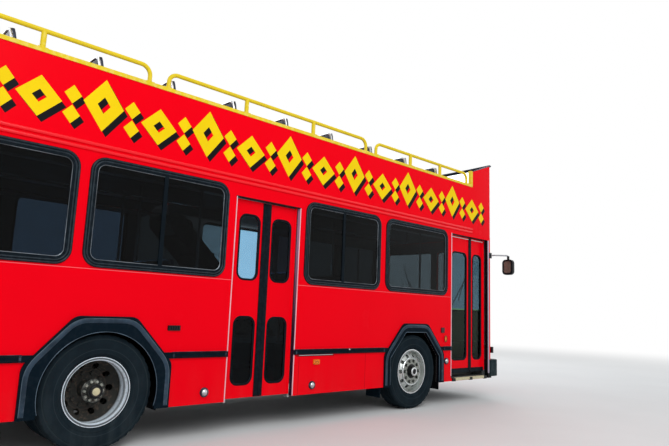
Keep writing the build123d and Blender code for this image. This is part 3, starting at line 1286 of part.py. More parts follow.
# Driver's place at the front left
DASH_REAR = WHEELBASE + 1530
DASH_FRONT = WHEELBASE + 1930
DASH_TOP = 1400
DASH_SLOPE = 130
DASH_FOOT_RISE = 350
DASH_FOOT_DEPTH = 200
DASH_INNER_Y = 250
COLUMN_TILT = 25
RING_BACK = 60
RING_RISE = 180
dash_drop = DASH_SLOPE * math.tan(math.radians(COLUMN_TILT))
with BuildPart() as dashboard:
    with BuildSketch(Plane.XZ):
        with BuildLine():
            Polyline(
                (at(DASH_REAR), FLOOR_TOP + DASH_FOOT_RISE), (at(DASH_REAR), DASH_TOP - dash_drop),
                (at(DASH_REAR + DASH_SLOPE), DASH_TOP), (at(DASH_FRONT), DASH_TOP),
                (at(DASH_FRONT), FLOOR_TOP), (at(DASH_REAR + DASH_FOOT_DEPTH), FLOOR_TOP),
                close=True,
            )
        make_face()
    extrude(amount=-(HALF_WIDTH - WALL))
    with BuildSketch(Plane.XZ):
        span(at(DASH_REAR) - 1, at(DASH_FRONT) + 1, 0, DASH_TOP + 1)
    extrude(amount=-DASH_INNER_Y, mode=Mode.SUBTRACT)
save(dashboard.part, "dashboard")

WHEEL_RING_RADIUS = 235
WHEEL_RING_TUBE = 15
COLUMN_RADIUS = 28
BOSS_RADIUS = 45
BOSS_HEIGHT = 30
SPOKE_WIDTH = 34
SPOKE_THICKNESS = 14
column_length = (RING_BACK * math.sin(math.radians(COLUMN_TILT)) - SEAT_GAP
                 + (RING_RISE + dash_drop) * math.cos(math.radians(COLUMN_TILT)))
with BuildPart() as steering_wheel:
    ring_centre = (at(DASH_REAR) - RING_BACK, DRIVER_Y, DASH_TOP + RING_RISE)
    with Locations(Location(ring_centre, (0, -COLUMN_TILT, 0))):
        Torus(WHEEL_RING_RADIUS, WHEEL_RING_TUBE)
        Cylinder(BOSS_RADIUS, BOSS_HEIGHT)
        Box(2 * WHEEL_RING_RADIUS, SPOKE_WIDTH, SPOKE_THICKNESS)
        Box(SPOKE_WIDTH, 2 * WHEEL_RING_RADIUS, SPOKE_THICKNESS)
        Cylinder(COLUMN_RADIUS, column_length, align=(Align.CENTER, Align.CENTER, Align.MAX))
save(steering_wheel.part, "steering_wheel")

# Grab poles from floor to ceiling
POLE_RADIUS = 16
WELL_POLE_Y = STEPWELL_DEPTH + 57 - MID_WELL_OUTER
POLES = [
    # station, y
    (1190, WELL_POLE_Y), (2210, WELL_POLE_Y), (WHEELBASE + 820, WELL_POLE_Y),
    (WHEELBASE + 820, 200), (WHEELBASE - 730, -240), (660, 230), (660, -230),
]
with BuildPart() as grab_poles:
    for station, y in POLES:
        with Locations((at(station), y, FLOOR_TOP)):
            Cylinder(POLE_RADIUS, DECK_UNDERSIDE - FLOOR_TOP,
                     align=(Align.CENTER, Align.CENTER, Align.MIN))
save(grab_poles.part, "grab_poles")


# Mirrors, lamps and the round caps low on the sides

MIRROR_HALF_WIDTH = 95
MIRROR_HEIGHT = 250
MIRROR_DEPTH = 55
MIRROR_OUT = 250
MIRROR_TOP = DECK_UNDERSIDE - 365
MIRROR_CORNER = 60
MIRROR_STATION = WHEELBASE + 2100
MIRROR_ARM_Z = DECK_UNDERSIDE - 300
MIRROR_ARM_RADIUS = 12
MIRROR_ARM_BACK = 150
MIRROR_ARM_OUT = 90
MIRROR_ARM_BEND = 25
MIRROR_ARM_LAP = 20
MIRROR_PLATE = (35, 14, 45)
with BuildPart() as mirrors:
    for side in (-1, 1):
        start = (at(MIRROR_STATION - MIRROR_ARM_BACK), side * HALF_WIDTH, MIRROR_ARM_Z)
        out_y = side * (HALF_WIDTH + MIRROR_OUT)
        with BuildLine() as arm:
            FilletPolyline(
                start, (at(MIRROR_STATION - MIRROR_ARM_BACK), side * (HALF_WIDTH + MIRROR_ARM_OUT),
                        MIRROR_ARM_Z),
                (at(MIRROR_STATION), out_y, MIRROR_ARM_Z),
                (at(MIRROR_STATION), out_y, MIRROR_TOP - MIRROR_ARM_LAP), radius=MIRROR_ARM_BEND)
        with BuildSketch(Plane(origin=start, z_dir=(0, side, 0))):
            Circle(MIRROR_ARM_RADIUS)
        sweep(path=arm.wires()[0])
        with BuildSketch(Plane.YZ.offset(at(MIRROR_STATION) - MIRROR_DEPTH / 2)):
            with Locations((out_y, MIRROR_TOP - MIRROR_HEIGHT / 2)):
                RectangleRounded(2 * MIRROR_HALF_WIDTH, MIRROR_HEIGHT, MIRROR_CORNER)
        extrude(amount=MIRROR_DEPTH)
        plate_x, plate_y, plate_z = MIRROR_PLATE
        low, high = sorted((side * HALF_WIDTH, side * (HALF_WIDTH + plate_y)))
        block((at(MIRROR_STATION - MIRROR_ARM_BACK) - plate_x, low, MIRROR_ARM_Z - plate_z),
              (at(MIRROR_STATION - MIRROR_ARM_BACK) + plate_x, high, MIRROR_ARM_Z + plate_z))
save(mirrors.part, "mirrors")

LAMP_FRONT_X = FRONT_CORNER_X + FRONT_BULGE
HEADLAMP_PROUD = 10
TAIL_LAMP_DEPTH = 16
TAIL_LAMPS = [
    # y, z, radius
    (HALF_WIDTH - 140, 780, 55), (HALF_WIDTH - 140, 930, 55), (HALF_WIDTH - 140, 1080, 55),
    (HALF_WIDTH - 290, 780, 40),
]
with BuildPart() as lamps:
    for side in (-1, 1):
        for y, radius in [(HEADLAMP_Y[0], HEADLAMP_RADIUS), (HEADLAMP_Y[1], HEADLAMP_RADIUS),
                          (FRONT_TURN_LAMP_Y, TURN_LAMP_RADIUS)]:
            with BuildSketch(Plane.YZ.offset(FRONT_CORNER_X - WALL / 2)):
                with Locations((side * y, HEADLAMP_Z)):
                    Circle(radius)
            extrude(amount=LAMP_FRONT_X - FRONT_CORNER_X + HEADLAMP_PROUD)
        for y, z, radius in TAIL_LAMPS:
            with BuildSketch(Plane.YZ.offset(REAR_FACE_X)):
                with Locations((side * y, z)):
                    Circle(radius)
            extrude(amount=-TAIL_LAMP_DEPTH)

SIDE_MARKERS = [
    # station, z, length, height
    (2518, 687, 95, 55), (657, 1060, 130, 50), (WHEELBASE + 637, 1069, 76, 76),
    (WHEELBASE + 704, 944, 60, 90),
]
MARKER_RADIUS = 8
MARKER_PROUD = 14
SIDE_CAP_RADIUS = 42
SIDE_CAP_PROUD = 16
SIDE_CAPS = [
    # station, z
    (1039, 437), (2463, 427), (WHEELBASE + 731, 622),
]
with BuildPart() as side_markers:
    for side in (-1, 1):
        with BuildSketch(side_plane(side, HALF_WIDTH)):
            for station, z, length, height in SIDE_MARKERS:
                span(at(station) - length / 2, at(station) + length / 2, z - height / 2,
                     z + height / 2, MARKER_RADIUS)
        extrude(amount=-inward(side, MARKER_PROUD))

with BuildPart() as all_lamps:
    add(lamps.part)
    add(side_markers.part)
save(all_lamps.part, "lamps")

with BuildPart() as side_caps:
    for side in (-1, 1):
        with BuildSketch(side_plane(side, HALF_WIDTH)):
            for station, z in SIDE_CAPS:
                with Locations((at(station), z)):
                    Circle(SIDE_CAP_RADIUS)
        extrude(amount=-inward(side, SIDE_CAP_PROUD))
save(side_caps.part, "side_caps")
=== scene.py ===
import math
from itertools import product

import bmesh
import bpy
from mathutils import Matrix, Vector


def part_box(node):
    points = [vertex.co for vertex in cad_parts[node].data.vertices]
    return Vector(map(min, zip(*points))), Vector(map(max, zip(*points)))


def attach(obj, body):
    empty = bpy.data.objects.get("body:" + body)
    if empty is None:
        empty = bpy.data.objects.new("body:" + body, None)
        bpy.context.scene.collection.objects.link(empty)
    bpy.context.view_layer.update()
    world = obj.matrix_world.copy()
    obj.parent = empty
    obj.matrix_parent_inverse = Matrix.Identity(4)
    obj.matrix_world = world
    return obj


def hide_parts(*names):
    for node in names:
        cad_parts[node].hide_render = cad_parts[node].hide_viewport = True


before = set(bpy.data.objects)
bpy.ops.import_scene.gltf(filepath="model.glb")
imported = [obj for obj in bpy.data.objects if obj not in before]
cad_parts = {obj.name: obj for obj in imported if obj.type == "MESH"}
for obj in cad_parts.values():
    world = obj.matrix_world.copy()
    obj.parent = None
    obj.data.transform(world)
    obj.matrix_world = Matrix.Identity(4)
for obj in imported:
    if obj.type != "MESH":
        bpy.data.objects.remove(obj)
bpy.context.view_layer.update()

bl_info = {
    "name": "Open Top Double Decker Bus",
    "version": (1, 0, 0),
    "blender": (4, 5, 0),
    "location": "3D View > Sidebar > Bus",
    "description": "Dresses the packed frame of an open top double decker bus",
    "category": "Object",
}

# Places in metres. X is forward, Y is the bus's left and Z is up.
# A station is a distance forward of the rear axle.
REAR_AXLE_X = -1.860
WHEELBASE = 4.370
HALF_WIDTH = 1.220
AXLE_Z = 0.500
FLOOR_TOP = 0.880
REAR_PLATFORM_TOP = 1.200
DECK_TOP = 2.690
DECK_UNDERSIDE = 2.600
CAP_TOP = 3.404
WINDOW_LOW = 1.577
WINDOW_HIGH = 2.571
WINDOW_RADIUS = 0.140
RUBBER_WIDTH = 0.065
RUBBER_FACE = HALF_WIDTH + 0.010
WALL = 0.050
NOSE_X = 4.608
NOSE_RADIUS = 8.314
REAR_FACE_X = -4.580
SEAM_Z = 1.562
STRIP_BOTTOM = 0.775
STRIP_TOP = 0.832
FRONT_CAP_Y = 1.215
REAR_CAP_Y = 1.150
GLASS_IOR = 1.16
LINING = (0.26, 0.27, 0.27)
MID_DOOR_FACE = 1.170
FRONT_DOOR_FACE = 1.140
SIDES = (-1, 1)
# Near black for painted shade: cut edges of door leaves and the foot of the front corners
PAINTED_SHADE_BLACK = (0.006, 0.006, 0.008)
# Degrees
SHARP_ANGLE = 35
BEVEL_ANGLE = 40


def at(station):
    """X of a station."""
    return REAR_AXLE_X + station


# Side windows: rear station, front station
RIGHT_WINDOWS = [(-2.600, -1.915), (-1.820, -0.361), (-0.273, 1.183), (2.261, 3.597),
                 (3.700, 5.123)]
LEFT_WINDOWS = RIGHT_WINDOWS + [(1.283, 2.167), (5.230, 6.170)]


def rgba(colour, factor=1.0):
    """Colour with full alpha, darkened by a factor."""
    return (*(part * factor for part in colour[:3]), 1)


# Nodes of the finishes

def wire(tree, start, end):
    tree.links.new(start, end)


def feed(tree, value, socket):
    """Puts a number, a colour of three numbers or another node's output on a socket."""
    if isinstance(value, tuple) and socket.type == "RGBA":
        value = rgba(value)
    if isinstance(value, (int, float, tuple)):
        socket.default_value = value
    else:
        wire(tree, value, socket)


def fill(tree, made, **values):
    """Feeds a node's inputs by name, with underscores for spaces. Returns the node."""
    for key, value in values.items():
        feed(tree, value, made.inputs[key.replace("_", " ")])
    return made


def node(tree, kind, **values):
    """New node with its properties set by name."""
    made = tree.nodes.new(kind)
    for key, value in values.items():
        setattr(made, key, value)
    return made


def math_node(tree, operation, *values, clamp=False):
    """Math node on sockets or numbers. Returns its output."""
    made = node(tree, "ShaderNodeMath", operation=operation, use_clamp=clamp)
    for value, socket in zip(values, made.inputs):
        feed(tree, value, socket)
    return made.outputs[0]


def times(tree, first, second, clamp=False):
    """Product of two sockets or numbers."""
    return math_node(tree, "MULTIPLY", first, second, clamp=clamp)


def mix_colour(tree, factor, first, second):
    """Colour mix of sockets or plain colours. Returns its output."""
    made = node(tree, "ShaderNodeMix", data_type="RGBA")
    for index, value in ((0, factor), (6, first), (7, second)):
        feed(tree, value, made.inputs[index])
    return made.outputs[2]


def ramp(tree, factor, low, high):
    """Smooth 0 to 1 step of a value between two limits."""
    made = node(tree, "ShaderNodeMapRange", interpolation_type="SMOOTHSTEP")
    return fill(tree, made, Value=factor, From_Min=low, From_Max=high).outputs["Result"]


def object_place(tree):
    """Place of the point being shaded, in the bus's frame."""
    return node(tree, "ShaderNodeTexCoord").outputs["Object"]


def object_axes(tree):
    """X, Y and Z of that place."""
    split = node(tree, "ShaderNodeSeparateXYZ")
    wire(tree, object_place(tree), split.inputs[0])
    return [split.outputs[axis] for axis in "XYZ"]


def noise(tree, scale, detail=3.0, place=None):
    """Noise value over the bus or over another vector socket. Scale may be a socket."""
    made = node(tree, "ShaderNodeTexNoise")
    fill(tree, made, Detail=detail, Roughness=0.55, Scale=scale, Vector=place or object_place(tree))
    return made.outputs["Fac"]


# Node groups shared by the finishes. Each maker returns the outputs by name.

def mottle_group(tree, given):
    """Slow cloudy change between a colour and its shade."""
    mask = ramp(tree, noise(tree, given["Scale"], 5.0), 0.35, 0.68)
    share = times(tree, mask, given["Amount"])
    return {"Color": mix_colour(tree, share, given["Color"], given["Shade"]), "Mask": mask}


def film_group(tree, given):
    """Dust thrown up from the road, thick near the ground and streaked above."""
    height = math_node(tree, "DIVIDE", object_axes(tree)[2], given["Top"])
    fade = math_node(tree, "SUBTRACT", 1.0, height, clamp=True)
    stretch = node(tree, "ShaderNodeVectorMath", operation="MULTIPLY")
    wire(tree, object_place(tree), stretch.inputs[0])
    stretch.inputs[1].default_value = (6.0, 6.0, 1.2)
    streak = ramp(tree, noise(tree, 1.7, 6.0, stretch.outputs[0]), 0.3, 0.75)
    share = times(tree, times(tree, fade, streak), given["Amount"], clamp=True)
    return {"Color": mix_colour(tree, share, given["Color"], given["Film"]), "Mask": share}


def wear_and_sheen_group(tree, given):
    """Worn colour along convex edges; on the window rubbers and their lips it is a painted highlight,
    not wear.
    """
    edge = ramp(tree, node(tree, "ShaderNodeNewGeometry").outputs["Pointiness"], 0.51, 0.62)
    patch = ramp(tree, noise(tree, 23.0, 4.0), 0.42, 0.66)
    share = times(tree, times(tree, edge, patch), given["Amount"], clamp=True)
    return {"Color": mix_colour(tree, share, given["Color"], given["Worn"])}


def grain_group(tree, given):
    """Fine even grain, as in moulded plastic, rubber or rolled metal."""
    fine = noise(tree, given["Scale"], 2.0)
    slow = noise(tree, times(tree, given["Scale"], 0.08))
    return {"Height": math_node(tree, "ADD", fine, times(tree, slow, given["Coarse"]))}


def hub_group(tree, given):
    """Distance from a wheel's axle line, with fine turned rings."""
    squares = []
    for axis, label in ((0, "Axle X"), (2, "Axle Z")):
        away = math_node(tree, "SUBTRACT", object_axes(tree)[axis], given[label])
        squares.append(times(tree, away, away))
    radius = math_node(tree, "SQRT", math_node(tree, "ADD", *squares))
    height = math_node(tree, "SINE", times(tree, radius, given["Rings"]))
    return {"Radius": radius, "Ring height": height}


def weave_group(tree, given):
    """Over and under threads of a woven cloth with small flecks."""
    threads = []
    for direction in "XY":
        wave = node(tree, "ShaderNodeTexWave", bands_direction=direction)
        fill(tree, wave, Distortion=0.6, Vector=object_place(tree), Scale=given["Scale"])
        threads.append(wave.outputs["Fac"])
    fleck = ramp(tree, noise(tree, 60.0, 1.0), 0.63, 0.66)
    return {"Color": mix_colour(tree, fleck, given["Color"], given["Fleck"]),
            "Height": times(tree, *threads)}


def band_group(tree, given):
    """1 where a value lies within a half width of its middle."""
    away = math_node(tree, "SUBTRACT", given["Value"], given["Middle"])
    away = math_node(tree, "ABSOLUTE", away)
    return {"Mask": math_node(tree, "LESS_THAN", away, given["Half width"])}


# Shared groups: maker, inputs with their first values
GREY = (0.5, 0.5, 0.5)
GROUPS = {
    "Mottle": (mottle_group, {
        "Color": GREY, "Shade": (0.3, 0.3, 0.3), "Scale": 3.0, "Amount": 0.3}),
    "Road film": (film_group, {
        "Color": GREY, "Film": (0.23, 0.2, 0.17), "Top": 1.0, "Amount": 0.3}),
    "Edge wear": (wear_and_sheen_group, {"Color": GREY, "Worn": (0.6, 0.6, 0.6), "Amount": 0.3}),
    "Fine grain": (grain_group, {"Scale": 300.0, "Coarse": 0.3}),
    "Hub bands": (hub_group, {"Axle X": 0.0, "Axle Z": AXLE_Z, "Rings": 900.0}),
    "Weave": (weave_group, {
        "Color": (0.1, 0.1, 0.3), "Fleck": (0.6, 0.3, 0.1), "Scale": 260.0}),
    "Band": (band_group, {"Value": 0.0, "Middle": 0.0, "Half width": 0.01}),
}


def shared_group(name):
    """Shader node group of a shared effect, built when it is first asked for."""
    if name in bpy.data.node_groups:
        return bpy.data.node_groups[name]
    maker, inputs = GROUPS[name]
    group = bpy.data.node_groups.new(name, "ShaderNodeTree")
    for label, value in inputs.items():
        colour = isinstance(value, tuple)
        socket = group.interface.new_socket(
            name=label, in_out="INPUT",
            socket_type="NodeSocketColor" if colour else "NodeSocketFloat")
        socket.default_value = rgba(value) if colour else value
    outputs = maker(group, group.nodes.new("NodeGroupInput").outputs)
    for label in outputs:
        group.interface.new_socket(
            name=label, in_out="OUTPUT",
            socket_type="NodeSocketColor" if label == "Color" else "NodeSocketFloat")
    fill(group, group.nodes.new("NodeGroupOutput"), **outputs)
    return group


def place_group(tree, name, **values):
    """Puts a shared group in a material and feeds its inputs. Returns its node."""
    return fill(tree, node(tree, "ShaderNodeGroup", node_tree=shared_group(name)), **values)


def band(tree, value, middle, half):
    """Mask of the values near a middle."""
    return place_group(tree, "Band", Value=value, Middle=middle, Half_width=half).outputs["Mask"]


def spot(tree, axes, low, high):
    """Mask of a box between two corners. None leaves an axis free."""
    mask = None
    for axis, first, last in zip(axes, low, high):
        if first is not None:
            part = band(tree, axis, (first + last) / 2, (last - first) / 2)
            mask = part if mask is None else times(tree, mask, part)
    return mask


def lay_spots(tree, axes, colour, spots):
    """Lays colours over boxes. spots holds (low corner, high corner, colour)."""
    for low, high, own in spots:
        colour = mix_colour(tree, spot(tree, axes, low, high), colour, own)
    return colour


def start_material(name):
    """Material with its Principled shader. Returns material, tree and shader."""
    material = bpy.data.materials.new(name)
    material.use_nodes = True
    tree = material.node_tree
    return material, tree, tree.nodes["Principled BSDF"]


def add_bump(tree, shader, height, strength, distance):
    """Bump from a height socket to the shader's normal."""
    bump = node(tree, "ShaderNodeBump")
    fill(tree, bump, Strength=strength, Distance=distance, Height=height)
    wire(tree, bump.outputs["Normal"], shader.inputs["Normal"])


def surface(name, colour, rough, metallic=0.0, mottle=0.35, mottle_scale=3.0, grain=300.0,
            bump=0.15, film=0.0, film_top=1.1, wear=0.0, worn=GREY, specular=0.5, layer=None,
            shade=0.7):
    """Painted, moulded or metal finish with mottling, grain, road film and edge wear, which on the
    window rubbers and their lips is a painted highlight.

    layer(tree, colour socket) may lay another colour over parts of it."""
    material, tree, shader = start_material(name)
    cloudy = place_group(tree, "Mottle", Color=rgba(colour), Shade=rgba(colour, shade),
                         Scale=mottle_scale, Amount=mottle)
    tint = cloudy.outputs["Color"]
    if wear > 0:
        worn_and_sheen_edges = place_group(tree, "Edge wear", Color=tint, Worn=worn, Amount=wear)
        tint = worn_and_sheen_edges.outputs["Color"]
    dull = times(tree, ramp(tree, cloudy.outputs["Mask"], -1.0, 2.0), rough * 0.6)
    dull = math_node(tree, "ADD", dull, rough * 0.7)
    if film > 0:
        dusty = place_group(tree, "Road film", Color=tint, Top=film_top, Amount=film)
        tint = dusty.outputs["Color"]
        dull = math_node(tree, "MAXIMUM", dull, times(tree, dusty.outputs["Mask"], 0.8))
    if layer:
        tint = layer(tree, tint)
    fill(tree, shader, Base_Color=tint, Roughness=dull, Metallic=metallic, Specular_IOR_Level=specular)
    grains = place_group(tree, "Fine grain", Scale=grain)
    add_bump(tree, shader, grains.outputs["Height"], bump, 0.001)
    return material


def glass(name, tint, panes=()):
    """Tinted sheet glass with a faint wash of dust in its roughness.

    panes holds (low corner, high corner, tint) of the parts with a tint of their own; most of these are
    painted light and shade, tints lighter or darker than the glass that stand in for what is seen
    through it."""
    material, tree, shader = start_material(name)
    colour = lay_spots(tree, object_axes(tree), tint, panes)
    shade = place_group(tree, "Mottle", Color=colour, Shade=rgba(tint, 0.9), Scale=1.3, Amount=0.12)
    fill(tree, shader, Base_Color=shade.outputs["Color"], Metallic=0.0,
         Roughness=ramp(tree, shade.outputs["Mask"], -0.5, 14.0), Transmission_Weight=1.0,
         IOR=GLASS_IOR)
    return material


# Lens colours: low corner, high corner, colour. The first row is the front's clear lenses.
LENS_SPOTS = [
    ((4.3, -1.0, 0.0), (4.8, 1.0, 2.0), (0.72, 0.75, 0.78)),
    ((-4.8, -1.3, 0.0), (-4.3, 1.3, 0.87), (0.70, 0.006, 0.010)),
    ((-4.8, -1.3, 1.0), (-4.3, 1.3, 3.5), (0.70, 0.006, 0.010)),
    ((-4.8, 0.88, 0.7), (-4.3, 0.98, 0.87), (0.75, 0.77, 0.80)),
    ((-4.8, -0.98, 0.7), (-4.3, -0.88, 0.87), (0.75, 0.77, 0.80)),
    ((at(5.007) - 0.05, -1.3, 1.02), (at(5.007) + 0.05, 1.3, 1.12), (0.06, 0.004, 0.010)),
    ((at(0.657) - 0.08, -1.3, 1.02), (at(0.657) + 0.08, 1.3, 1.10), (0.004, 0.004, 0.005)),
]
OVAL_LAMP = (at(5.074), 0.944, 0.029, 0.043)


def lens_material(name):
    """Lamp lenses: clear at the front, red behind, amber at the corners and sides."""
    material, tree, shader = start_material(name)
    axes = object_axes(tree)
    facets = node(tree, "ShaderNodeTexVoronoi")
    fill(tree, facets, Scale=90.0, Vector=object_place(tree))
    facets = facets.outputs["Distance"]
    colour = lay_spots(tree, axes, (0.95, 0.22, 0.008), LENS_SPOTS)
    middle_x, middle_z, half_x, half_z = OVAL_LAMP
    squares = []
    for value, middle, half in ((axes[0], middle_x, half_x), (axes[2], middle_z, half_z)):
        share = math_node(tree, "DIVIDE", math_node(tree, "SUBTRACT", value, middle), half)
        squares.append(times(tree, share, share))
    outside = math_node(tree, "GREATER_THAN", math_node(tree, "ADD", *squares), 1.0)
    corner = spot(tree, axes, (middle_x - 0.04, None, middle_z - 0.06),
                  (middle_x + 0.04, None, middle_z + 0.06))
    colour = mix_colour(tree, times(tree, outside, corner), colour, rgba(paint_settings().body))
    dark = mix_colour(tree, 0.75, colour, (0.01, 0.01, 0.01))
    colour = mix_colour(tree, ramp(tree, facets, 0.35, 1.0), colour, dark)
    fill(tree, shader, Base_Color=colour, Roughness=0.14, Specular_IOR_Level=0.25)
    add_bump(tree, shader, facets, 0.4, 0.002)
    return material


def rings(tree, colour, radius, rows):
    """Lays ring colours over a wheel. rows holds (inner radius, outer radius, colour)."""
    for inner, outer, own in rows:
        mask = math_node(tree, "SUBTRACT", ramp(tree, radius, inner - 0.002, inner + 0.002),
                         ramp(tree, radius, outer - 0.002, outer + 0.002))
        colour = mix_colour(tree, mask, colour, own)
    return colour


def wheel_material(name, axle_x, rusty):
    """Truck wheel: polished aluminium disc, or a bright rim round a rusty dish; the rim's near white,
    sky blue colour is a painted highlight on grey metal.
    """
    material, tree, shader = start_material(name)
    bands = place_group(tree, "Hub bands", Axle_X=axle_x)
    radius = bands.outputs["Radius"]
    if rusty:
        patch = ramp(tree, noise(tree, 30.0, 6.0), 0.50, 0.72)
        dish = mix_colour(tree, patch, (0.030, 0.031, 0.028), (0.095, 0.072, 0.054))
        dish = rings(tree, dish, radius, [(0.148, 0.152, (0.075, 0.060, 0.045)),
                                          (0.180, 0.187, (0.060, 0.050, 0.042))])
        # The rim's near white, sky blue colour is a painted highlight; the noise mixes in duller grey
        # patches.
        worn = ramp(tree, noise(tree, 45.0, 5.0), 0.5, 0.8)
        rim = mix_colour(tree, worn, (0.80, 0.90, 0.98), (0.44, 0.48, 0.54))
        across = width_at(tree)
        outer = times(tree, ramp(tree, radius, 0.262, 0.270), ramp(tree, across, 0.990, 1.030))
        colour = mix_colour(tree, outer, dish, rim)
        # Painted shade: a dark ring across the rim's flat outer face.
        colour = rings(tree, colour, radius, [(0.2765, 0.2925, (0.10, 0.12, 0.135))])
        rough = math_node(tree, "SUBTRACT", 0.75, times(tree, outer, 0.4))
        fill(tree, shader, Metallic=times(tree, outer, 0.25), Specular_IOR_Level=0.2)
    else:
        cloud = place_group(tree, "Mottle", Color=(0.62, 0.66, 0.65), Shade=(0.36, 0.38, 0.34),
                            Scale=7.0, Amount=0.5)
        colour = rings(tree, cloud.outputs["Color"], radius, [
            (0.0, 0.098, (0.010, 0.012, 0.013)), (0.098, 0.172, (0.28, 0.30, 0.27)),
            (0.2745, 0.288, (0.22, 0.23, 0.23)), (0.289, 0.310, (0.80, 0.84, 0.86))])
        rough = math_node(tree, "ADD", times(tree, cloud.outputs["Mask"], 0.10), 0.26)
        shader.inputs["Metallic"].default_value = 0.55
    dusty = place_group(tree, "Road film", Color=colour, Film=(0.12, 0.10, 0.085), Top=0.9,
                        Amount=0.15 if rusty else 0.2)
    fill(tree, shader, Base_Color=dusty.outputs["Color"], Roughness=rough)
    add_bump(tree, shader, bands.outputs["Ring height"], 0.08, 0.0004)
    return material


def cloth_material(name, colour, fleck):
    """Woven seat cover."""
    material, tree, shader = start_material(name)
    weave = place_group(tree, "Weave", Color=colour, Fleck=fleck)
    cloudy = place_group(tree, "Mottle", Color=weave.outputs["Color"], Shade=rgba(colour, 0.5),
                         Scale=9.0, Amount=0.3)
    fill(tree, shader, Base_Color=cloudy.outputs["Color"], Roughness=0.85, Sheen_Weight=0.3,
         Sheen_Roughness=0.5)
    add_bump(tree, shader, weave.outputs["Height"], 0.4, 0.0008)
    return material


def tyre_material(name, axle_x):
    """Dark rubber with two lighter, bluer rings round the sidewall, bluer and greyer with road dust
    towards the ground.
    """
    material, tree, shader = start_material(name)
    cloudy = place_group(tree, "Mottle", Color=(0.007, 0.013, 0.018), Shade=(0.012, 0.021, 0.028),
                         Scale=7.0, Amount=0.8)
    radius = place_group(tree, "Hub bands", Axle_X=axle_x).outputs["Radius"]
    colour = rings(tree, cloudy.outputs["Color"], radius, [
        (0.366, 0.370, (0.024, 0.036, 0.044)), (0.449, 0.462, (0.018, 0.028, 0.034))])
    # The front tyre gets less road film than the rear ones, so it stays darker: painted shade under its
    # arch.
    dusty = place_group(tree, "Road film", Color=colour, Film=(0.050, 0.064, 0.070), Top=0.95,
                        Amount=0.12 if axle_x > 0 else 0.40)
    fill(tree, shader, Base_Color=dusty.outputs["Color"], Specular_IOR_Level=0.05,
         Roughness=ramp(tree, cloudy.outputs["Mask"], -4.0, 1.6))
    grains = place_group(tree, "Fine grain", Scale=260.0, Coarse=0.8)
    add_bump(tree, shader, grains.outputs["Height"], 0.3, 0.001)
    return material


def nose(y):
    """X of the bowed front at a Y."""
    return NOSE_X - y * y / (2 * NOSE_RADIUS)


def width_at(tree):
    """Distance from the bus's middle plane."""
    return math_node(tree, "ABSOLUTE", object_axes(tree)[1])


def side_layer_with_painted_light(tree, colour):
    """Panel joints outside, with a painted highlight along the seam below the windows, cut edges
    painted dark as painted shade, a door jamb painted pale lilac above and near black below as painted
    light and shade, a grey lining inside and the painted shade at the front corners' foot.
    """
    axes = object_axes(tree)
    # Painted highlight: a thin pale pink line along the panel seam below the windows.
    light = times(tree, band(tree, axes[2], SEAM_Z, 0.0025), 0.5)
    colour = mix_colour(tree, light, colour, (0.95, 0.30, 0.34))
    for station in (3.36, -1.62, 2.255):
        joint = spot(tree, axes, (at(station) - 0.0025, None, 0.3),
                     (at(station) + 0.0025, None, STRIP_BOTTOM))
        colour = mix_colour(tree, times(tree, joint, 0.6), colour, (0.16, 0.0, 0.004))
    across = width_at(tree)
    # Painted shade: the wall's cut edges in its openings, painted near black.
    edge = math_node(tree, "LESS_THAN", across, HALF_WIDTH - 0.0015)
    colour = mix_colour(tree, edge, colour, (0.006, 0.004, 0.007))
    # Painted light and shade on the mid door's front jamb: pale lilac high up, darkening to near black
    # at its foot.
    jamb = spot(tree, (axes[0], across), (at(2.162), HALF_WIDTH - 0.040),
                (at(2.172), HALF_WIDTH - 0.001))
    pale = mix_colour(tree, ramp(tree, axes[2], 0.9, 2.3), (0.030, 0.014, 0.035), (0.42, 0.28, 0.46))
    colour = mix_colour(tree, jamb, colour, pale)
    inside = math_node(tree, "LESS_THAN", across, HALF_WIDTH - WALL + 0.002)
    return front_foot_shade(tree, mix_colour(tree, inside, colour, LINING))


def front_foot_shade(tree, colour):
    """Painted shade: the foot of the body's front corners, down beside the bumper, painted near black.
    """
    foot = spot(tree, object_axes(tree), (at(6.19), None, 0.2), (at(6.6), None, 0.402))
    return mix_colour(tree, foot, colour, PAINTED_SHADE_BLACK)


def door_edge_shade_layer(face):
    """Cut edges of door leaves whose outer face is at one Y, painted near black as painted shade."""
    def layer(tree, colour):
        edge = band(tree, width_at(tree), face - 0.0175, 0.016)
        return mix_colour(tree, edge, colour, PAINTED_SHADE_BLACK)
    return layer


def end_layer(tree, colour):
    """Grey lining on the inner faces of the front and rear walls, and the painted shade at the foot of
    the front corners.
    """
    x, y = object_axes(tree)[:2]
    bow = times(tree, times(tree, y, y), 0.5 / NOSE_RADIUS)
    behind = math_node(tree, "LESS_THAN", math_node(tree, "ADD", x, bow), NOSE_X - WALL + 0.006)
    ahead = math_node(tree, "GREATER_THAN", x, REAR_FACE_X + WALL - 0.004)
    between = math_node(tree, "LESS_THAN", width_at(tree), HALF_WIDTH - WALL + 0.002)
    inside = times(tree, times(tree, behind, ahead), between)
    return front_foot_shade(tree, mix_colour(tree, inside, colour, LINING))


def mirror_layer(tree, colour):
    """Light metal of the mirror arms above their heads."""
    above = math_node(tree, "GREATER_THAN", object_axes(tree)[2], 2.245)
    beside = math_node(tree, "GREATER_THAN", width_at(tree), HALF_WIDTH + 0.030)
    return mix_colour(tree, times(tree, above, beside), colour, (0.42, 0.44, 0.47))


def body_paint(name, layer=None):
    """The bus's red enamel."""
    return surface(name, paint_settings().body, 0.24, mottle=0.2, mottle_scale=1.2, grain=120.0,
                   bump=0.02, film=0.06, film_top=0.8, specular=0.03, shade=0.9, layer=layer)


def paint_settings():
    """Colours that the user has set."""
    return bpy.context.scene.bus_paint


